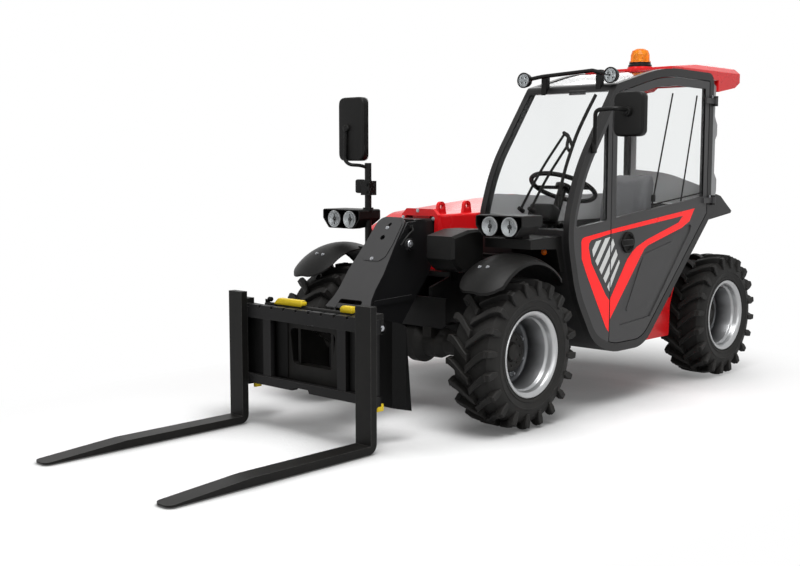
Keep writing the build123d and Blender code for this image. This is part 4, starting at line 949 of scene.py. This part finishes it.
# %% Seals, slide bars and wiper
GLASS_Y = span("door_glass")[1].y
bm = bmesh.new()
door_pane = [(-687, 1768, 12), (-210, 1773, 170), (228, 1666, 14), (269, 1612, 14),
             (269, 1035, 12), (-687, 1131, 12)]
add_seal(bm, round_corners(door_pane), 9, GLASS_Y + 0.3, GLASS_Y + 6)
for (top_x, top_z), (foot_x, foot_z) in (((-317, 1726), (-117, 1096)), ((-598, 1725), (-439, 1108))):
    bar = [(top_x, top_z), (top_x + 13, top_z), (foot_x + 13, foot_z), (foot_x, foot_z)]
    add_plate(bm, bar, GLASS_Y + 0.3, GLASS_Y + 4, radius=0.8)
add_box(bm, (-136, GLASS_Y + 0.3, 1112), (-100, GLASS_Y + 9, 1152), 3)
sill_slope = Matrix.Rotation(math.radians(5.7), 4, "Y")
add_box(bm, (-682, GLASS_Y + 0.3, 1120), (-112, GLASS_Y + 3, 1128), 0.8, turn=sill_slope)
piece("door_seal", bm, TRIM, "door", "trim_black")
bm = bmesh.new()
quarter_pane = [(358, 1537, 6), (559, 1277, 131), (627, 1085, 60), (645, 998, 6), (358, 1027, 6)]
add_seal(bm, round_corners(quarter_pane), 7, GLASS_Y + 0.3, GLASS_Y + 5)
piece("quarter_seal", bm, TRIM, "chassis", "trim_black")

WIPER = [  # radius, corner, points of each tube: blade, its spine, two arms, two yokes
    (8, 60, [(343, 638, 1690), (424, 636, 1592), (512, 634, 1476), (630, 651, 1309), (693, 655, 1165)]),
    (5, 60, [(350, 638, 1694), (431, 636, 1597), (519, 634, 1481), (637, 651, 1312), (700, 655, 1167)]),
    (7, 160, [(508, 554, 1482), (642, 500, 1292), (724, 432, 1085)]),
    (7, 160, [(564, 605, 1410), (662, 552, 1250), (724, 497, 1087)]),
    (9, 20, [(506, 548, 1490), (518, 590, 1474), (560, 606, 1414), (585, 640, 1392)]),
    (9, 20, [(506, 548, 1490), (530, 600, 1462), (560, 640, 1420)]),
]
bm = bmesh.new()
for radius, corner, points in WIPER:
    add_tube(bm, points, radius, corner)
for across in (432, 497):
    add_rod(bm, (700, across, 1076), (738, across, 1094), 13, 11, 20, 2)
piece("wiper", bm, TRIM, "chassis", "trim_black")
bm = bmesh.new()
add_box(bm, (302, 440, 1698), (307, 548, 1724), 2)
piece("screen_blind", bm, DOOR_PAINT, "chassis", "door_grey")
print("windows done:", len(FINISHED))

# %% [markdown]
# ## Seat
# What shows most through the glass is the seat. It is cloth over foam, so its cushion and
# backrest start as rounded blocks a little under size, are blown up by a short cloth
# simulation, and are then capped so that they stay in the room that the seat has. The sewn
# channels are pressed in afterwards.

# %% Padded seat
CHANNELS = [(TO_FRAME @ Vector((0, across, 0))).y for across in (365, 535)]
CHANNEL_WIDTH = 0.012
CLOTH_FRAMES = 20


def press_channels(verts, depth):
    """Press two sewn channels along a pad: verts near one sink towards the pad's middle."""
    heart = sum((v.co for v in verts), Vector()) / len(verts)
    for vert in verts:
        for line in CHANNELS:
            near = math.exp(-((vert.co.y - line) / CHANNEL_WIDTH) ** 2)
            vert.co += (heart - vert.co).normalized() * depth * near


def swell(name, bm, cap, pressure=4):
    """Pad from a closed block: remeshed, blown up as cloth, each point's move capped."""
    bmesh.ops.transform(bm, matrix=TO_FRAME, verts=bm.verts)
    bmesh.ops.recalc_face_normals(bm, faces=bm.faces)
    pad = to_object(name, bm)
    remesh = pad.modifiers.new("even faces", "REMESH")
    remesh.mode = "VOXEL"
    remesh.voxel_size = 0.009
    bpy.context.view_layer.objects.active = pad
    bpy.ops.object.modifier_apply(modifier=remesh.name)
    before = [vert.co.copy() for vert in pad.data.vertices]
    cloth = pad.modifiers.new("foam", "CLOTH")
    cloth.settings.use_pressure = True
    cloth.settings.uniform_pressure_force = pressure
    cloth.settings.effector_weights.gravity = 0
    cloth.point_cache.frame_end = CLOTH_FRAMES
    for step in range(1, CLOTH_FRAMES + 1):
        bpy.context.scene.frame_set(step)
    bpy.ops.object.modifier_apply(modifier=cloth.name)
    bpy.context.scene.frame_set(1)
    for vert, start in zip(pad.data.vertices, before):
        move = vert.co - start
        if move.length > cap:
            vert.co = start + move.normalized() * cap
    return pad


def finish_pad(pad, depth):
    """Sew the channels, keep the pad in the seat's room, smooth it and dress it."""
    press_channels(pad.data.vertices, depth)
    seat_low, seat_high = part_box("seat")
    for vert in pad.data.vertices:
        vert.co = Vector(max(low, min(high, c)) for c, low, high in zip(vert.co, seat_low, seat_high))
    for face in pad.data.polygons:
        face.use_smooth = True
    pad.data.materials.append(SEAT_CLOTH)
    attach(pad, "chassis")
    FINISHED.append(pad)


bm = bmesh.new()
add_box(bm, (-236, 276, 642), (192, 624, 724), 34, 4)
cushion = swell("seat_cushion", bm, cap=0.014)
finish_pad(cushion, depth=0.008)
bm = bmesh.new()
backrest_side = [(-262, 752), (-196, 730), (-236, 1100), (-268, 1236), (-300, 1276),
                 (-334, 1262), (-350, 1210)]
add_plate(bm, backrest_side, 286, 614, radius=20)
backrest = swell("seat_back", bm, cap=0.012)
finish_pad(backrest, depth=0.007)
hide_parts("seat")
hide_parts("seat")
print("seat padded:", [made.name for made in FINISHED[-2:]])

# %% [markdown]
# ## Lining and controls
# The cab is lined with moulded panels at its right side and back, given a light grey that is partly
# their own and partly a painted reflection of the glass they are seen through. The joystick stands on
# an armrest beside the seat, and the dash pod leans towards the driver. All of it is seen
# through glass only, so plain plates and rounded blocks are enough.

# %% Lining and controls
CAB_RIGHT = span("cab_tub")[0].y
bm = bmesh.new()
side_trim = [(-728, 990, 10), (-728, 1146, 30), (120, 1140, 200), (652, 1164, 60), (676, 990, 10)]
add_plate(bm, round_corners(side_trim), CAB_RIGHT + 22, CAB_RIGHT + 30)
rear_trim = [(180, 1082, 12), (180, 1292, 14), (440, 1268, 80), (690, 1186, 20), (690, 1082, 12)]
add_plate(bm, round_corners(rear_trim), -772, -764, across="x")
add_plate(bm, rounded_box(CAB_RIGHT + 4, 212, 1060, 1800, 14), -776, -768, across="x")
piece("cab_inner_panels", bm, LINING_WITH_PAINTED_REFLECTION, "chassis", "cab_black")
bm = bmesh.new()
add_box(bm, (-180, 300, 622), (150, 600, 646), 8, 3)
add_box(bm, (-150, 222, 838), (120, 268, 868), 10, 3)
add_rod(bm, (-110, 245, 640), (-110, 245, 840), 14, rounding=2)
add_rod(bm, (86, 245, 864), (96, 245, 960), 9, 7)
knob_at = Matrix.Translation((98, 245, 972))
bmesh.ops.create_uvsphere(bm, u_segments=24, v_segments=14, radius=24, matrix=knob_at)
add_box(bm, (470, 352, 1008), (560, 508, 1104), 18, 3)
bmesh.ops.rotate(bm, cent=(515, 430, 1056), matrix=Matrix.Rotation(math.radians(-24), 3, "Y"),
                 verts=[v for v in bm.verts if v.co.x > 400])
piece("cab_controls", bm, PLASTIC, "chassis", "plastic_black")
print("cab done:", len(FINISHED))

# %% [markdown]
# ## Bolts and pins
# Bolt heads and pin ends show where the parts are joined. They are zinc plated, so they catch
# the light on the black parts. Each is a short cone with six sides on a washer, put where the
# model has its joint: round the boom's mouth, on the nose plate, on the fenders and hinges.

# %% Bolt heads
MOUTH_X = span("boom_outer")[1].x
bm = bmesh.new()
for across, height in ((-13, 1078), (97, 1036), (-119, 1039), (133, 884),
                       (105, 805), (-97, 1000), (-119, 884), (-105, 805)):
    add_bolt(bm, (MOUTH_X, across, height), (1, 0, 0), 13)
piece("boom_bolts", bm, ZINC, "boom", "chrome_rod")

NOSE_FOOT, NOSE_UP, NOSE_OUT = Vector((1574, 0, 615)), Vector((-0.606, 0, 0.795)), Vector((0.795, 0, 0.606))
bm = bmesh.new()
for up in (283, 476):
    add_bolt(bm, NOSE_FOOT + NOSE_UP * up + NOSE_OUT * 4.2, NOSE_OUT, 13)
for side in (1, -1):
    tip = 138 * side
    add_rod(bm, (1264, tip, 918), (1264, tip + 4 * side, 918), 19, 16, 28)
    add_bolt(bm, (1264, tip + 4 * side, 918), (0, side, 0), 11)
piece("nose_bolts", bm, ZINC, "boom_inner", "chrome_rod")
bm = bmesh.new()
add_tube(bm, [(1222, 112, 1000), (1232, 128, 984), (1282, 134, 958), (1316, 122, 912)], 6, 26)
add_box(bm, (1210, 103.5, 990), (1240, 116, 1012), 4)
piece("nose_hose", bm, PLASTIC, "boom_inner", "plastic_black")

HINGE_HEIGHTS = (1699, 1106)
bm = bmesh.new()
for side in (1, -1):
    for across, height in ((612, 825), (562, 822)):
        add_bolt(bm, (1222, across * side, height), (0.52, 0, 0.85), 12)
for height in HINGE_HEIGHTS:
    for step in (-9, 9):
        add_bolt(bm, (-742, GLASS_Y + 23, height + 24 + step * 0.2), (0, 1, 0), 8)
piece("body_bolts", bm, ZINC, "chassis", "chrome_rod")
bm = bmesh.new()
for height in HINGE_HEIGHTS:
    for along in (-716, -694):
        add_bolt(bm, (along, GLASS_Y + 13.2, height), (0, 1, 0), 9)
piece("hinge_bolts", bm, PLASTIC, "door", "plastic_black")
print("bolts done:", len(FINISHED))

# %% [markdown]
# ## Handles and latches of the carriage
# The pins that lock the carriage are worked by yellow handles, which are bent strip. They are
# flat outlines with a rounded edge, over the plain handles of the model. At each end of the
# carriage a hexagonal stop sits on a bolt, and a yellow catch holds the fork frame.

# %% Yellow handles
APRON_X = span("coupler")[1].x - 22
GRIP_BACK, GRIP_FRONT = APRON_X - 17, APRON_X + 17
bm = bmesh.new()
long_grip = [(-300, 620), (-284, 634), (-262, 654), (-92, 654), (-78, 648), (-76, 632), (-88, 620)]
add_plate(bm, long_grip, GRIP_BACK, GRIP_FRONT, across="x", radius=7)
short_grip = [(187, 620), (187, 644), (198, 654), (270, 654), (270, 620)]
add_plate(bm, short_grip, GRIP_BACK, GRIP_FRONT, across="x", radius=7)
for right in (431, -448):
    add_box(bm, (GRIP_BACK, right, 176), (APRON_X + 28, right + 17, 212), 4)
piece("carriage_handles", bm, YELLOW, "carriage", "carriage_black")
bm = bmesh.new()
for side in (1, -1):
    add_rod(bm, (APRON_X + 5, 441 * side, 570), (APRON_X + 5, 456 * side, 570), 34, 32, 6, 2)
    add_rod(bm, (APRON_X - 4, 330 * side, 640), (APRON_X - 4, 352 * side, 640), 12, 12, 20, 2)
piece("carriage_stops", bm, PLASTIC, "carriage", "plastic_black")
bm = bmesh.new()
for side in (1, -1):
    add_bolt(bm, (APRON_X + 5, 456 * side, 570), (0, side, 0), 17)
add_rod(bm, (APRON_X + 26, -30, 546), (APRON_X + 26, 14, 546), 9, 9, 20, 2)
piece("carriage_bolts", bm, ZINC, "carriage", "chrome_rod")

# %% [markdown]
# ## Small parts of the body
# What is left is what one notices on a second look: the filler cap on the red tank, the small
# lamp box under the rear of the roof, the notched light strip at the cab's rear corner, the oil
# filler in front of the rear wheel and the amber side marker.

# %% Caps, corner strip and marker
bm = bmesh.new()
tank_out = span("side_tank")[1].y
cap = [(0.3, 0), (0.3, 36), (6, 36), (10, 33), (14, 33), (16, 30), (16, 0)]
add_turned(bm, cap, (-500, tank_out, 560), steps=36)
add_box(bm, (-1136, 662, 1812), (-1118.5, 700, 1852), 4)
piece("filler_cap", bm, PLASTIC, "chassis", "plastic_black")
bm = bmesh.new()
strip = [(-784, 1822), (-845, 1790), (-838, 1612), (-872, 1560), (-872, 1500), (-850, 1470), (-848, 1270),
         (-880, 1230), (-880, 1160), (-852, 1090), (-784, 1082)]
add_plate(bm, strip, 713.4, 716.4)
piece("rear_corner_strip", bm, TRIM_GREY, "chassis", "door_grey")
bm = bmesh.new()
add_rod(bm, (-586, 560, 548), (-606, 560, 545), 13)
add_rod(bm, (-606, 560, 545), (-622, 560, 543), 24, 21, 28, 4)
piece("oil_filler", bm, ZINC, "chassis", "chrome_rod")
bm = bmesh.new()
add_turned(bm, [(0.4, 0), (0.4, 17), (5, 16), (8, 11), (9, 0)], (757, 612, 872), "x", 28)
piece("side_marker", bm, AMBER_LAMP, "chassis", "beacon_amber")
print("small parts done:", len(FINISHED))

# %% [markdown]
# ## Studio and camera
# The machine stands on a pale floor in a white room, lit by a large soft lamp above and three
# fills round it. To the camera the surroundings are plain white, which Light Path sorts out, so
# that white isn't made by pouring more light on the machine. The floor keeps its soft shadow, and
# where the machine closes it in, its colour is darkened as well, a painted shadow; it fades to white in a
# wide oval round it.

# %% Floor, room and lamps


def white_to_camera(tree, strength):
    """Value that is strength for camera, glossy and transmission rays and 0 for others."""
    ray = tree.nodes.new("ShaderNodeLightPath")
    seen = math_node(tree, "MAXIMUM", ray.outputs["Is Camera Ray"], ray.outputs["Is Glossy Ray"])
    seen = math_node(tree, "MAXIMUM", seen, ray.outputs["Is Transmission Ray"])
    return math_node(tree, "MULTIPLY", seen, strength)


floor_bm = bmesh.new()
bmesh.ops.create_grid(floor_bm, x_segments=1, y_segments=1, size=30)
floor = to_object("floor", floor_bm)
floor_finish, floor_tree, floor_shader = open_finish("Studio floor")
floor_shader.inputs["Roughness"].default_value = 0.9
floor_shader.inputs["Specular IOR Level"].default_value = 0.1
floor_shader.inputs["Emission Color"].default_value = (1, 1, 1, 1)
floor_tree.links.new(white_to_camera(floor_tree, 0.09), floor_shader.inputs["Emission Strength"])
# Painted shadow: the floor's colour darkens by ambient occlusion where the machine closes it in.
closed_in = floor_tree.nodes.new("ShaderNodeAmbientOcclusion")
closed_in.samples = 12
closed_in.inputs["Distance"].default_value = 0.5
open_sky = math_node(floor_tree, "POWER", closed_in.outputs["AO"], 1.5)
shade = blend_colour(floor_tree, open_sky, (0.05, 0.05, 0.05, 1), (0.96, 0.96, 0.96, 1))
floor_tree.links.new(shade, floor_shader.inputs["Base Color"])
oval = vector_node(floor_tree, "MULTIPLY_ADD", own_place(floor_tree), (0.62, 1, 1), (-0.25, 0, 0))["Vector"]
away = vector_node(floor_tree, "LENGTH", oval)["Value"]
fade = math_node(floor_tree, "MULTIPLY_ADD", away, 1.2, -1.5, clamp=True)
faded = math_node(floor_tree, "MULTIPLY", white_to_camera(floor_tree, 1.0), fade)
mix_shaders(floor_tree, faded, floor_shader, floor_tree.nodes.new("ShaderNodeEmission"))
floor.data.materials.append(floor_finish)

room = bpy.data.worlds.new("Studio room")
bpy.context.scene.world = room
room.use_nodes = True
backdrop = room.node_tree.nodes["Background"]
backdrop.inputs["Color"].default_value = (1, 1, 1, 1)
room_light = 0.16
room_strength = math_node(room.node_tree, "ADD", white_to_camera(room.node_tree, 1 - room_light), room_light)
room.node_tree.links.new(room_strength, backdrop.inputs["Strength"])


def soft_lamp(name, place, aim, size, power):
    """Square soft lamp at a place in metres, aimed at a point."""
    data = bpy.data.lights.new(name, "AREA")
    data.size = size
    data.energy = power
    lamp = bpy.data.objects.new(name, data)
    lamp.location = place
    lamp.rotation_euler = (Vector(aim) - Vector(place)).to_track_quat("-Z", "Y").to_euler()
    bpy.context.scene.collection.objects.link(lamp)


SOFT_LAMPS = [  # name, place, size, power
    ("key", (1.5, 2.0, 6.4), 3.6, 430),
    ("left fill", (2.5, 6.5, 3.0), 4.0, 100),
    ("front fill", (7.0, -1.5, 2.6), 3.5, 90),
    ("rear fill", (-6.0, -3.0, 4.0), 4.0, 60),
]
for name, place, size, power in SOFT_LAMPS:
    soft_lamp(name, place, (mid_x, mid_y, 0.8), size, power)
print("lamps:", [name for name, *_ in SOFT_LAMPS])

# %% [markdown]
# ## Camera
# The camera stands ahead of the left front wheel, at the height of the cab's windows, and looks
# a little down through a fairly long lens. So the forks come towards the viewer, and the boom,
# the cab's side and three wheels show. Standard keeps the colours as the finishes state them.

# %% Camera
CAMERA_AT = Vector((5530, 4048, 1329))
CAMERA_YAW = math.radians(223.03)
CAMERA_PITCH = math.radians(6.05)
camera_data = bpy.data.cameras.new("camera")
camera_data.lens = 50.9
camera_data.sensor_width = 36
camera = bpy.data.objects.new("camera", camera_data)
camera.location = TO_FRAME @ CAMERA_AT
level = math.cos(CAMERA_PITCH)
looking = Vector((math.cos(CAMERA_YAW) * level, math.sin(CAMERA_YAW) * level, -math.sin(CAMERA_PITCH)))
camera.rotation_euler = looking.to_track_quat("-Z", "Y").to_euler()
bpy.context.scene.collection.objects.link(camera)
bpy.context.scene.camera = camera
bpy.context.scene.view_settings.view_transform = "Standard"
print("camera at", [round(v, 3) for v in camera.location])

# %% [markdown]
# ## Count
# Last, the number of pieces added is printed.

# %% Count of pieces
print("pieces added:", len(FINISHED))
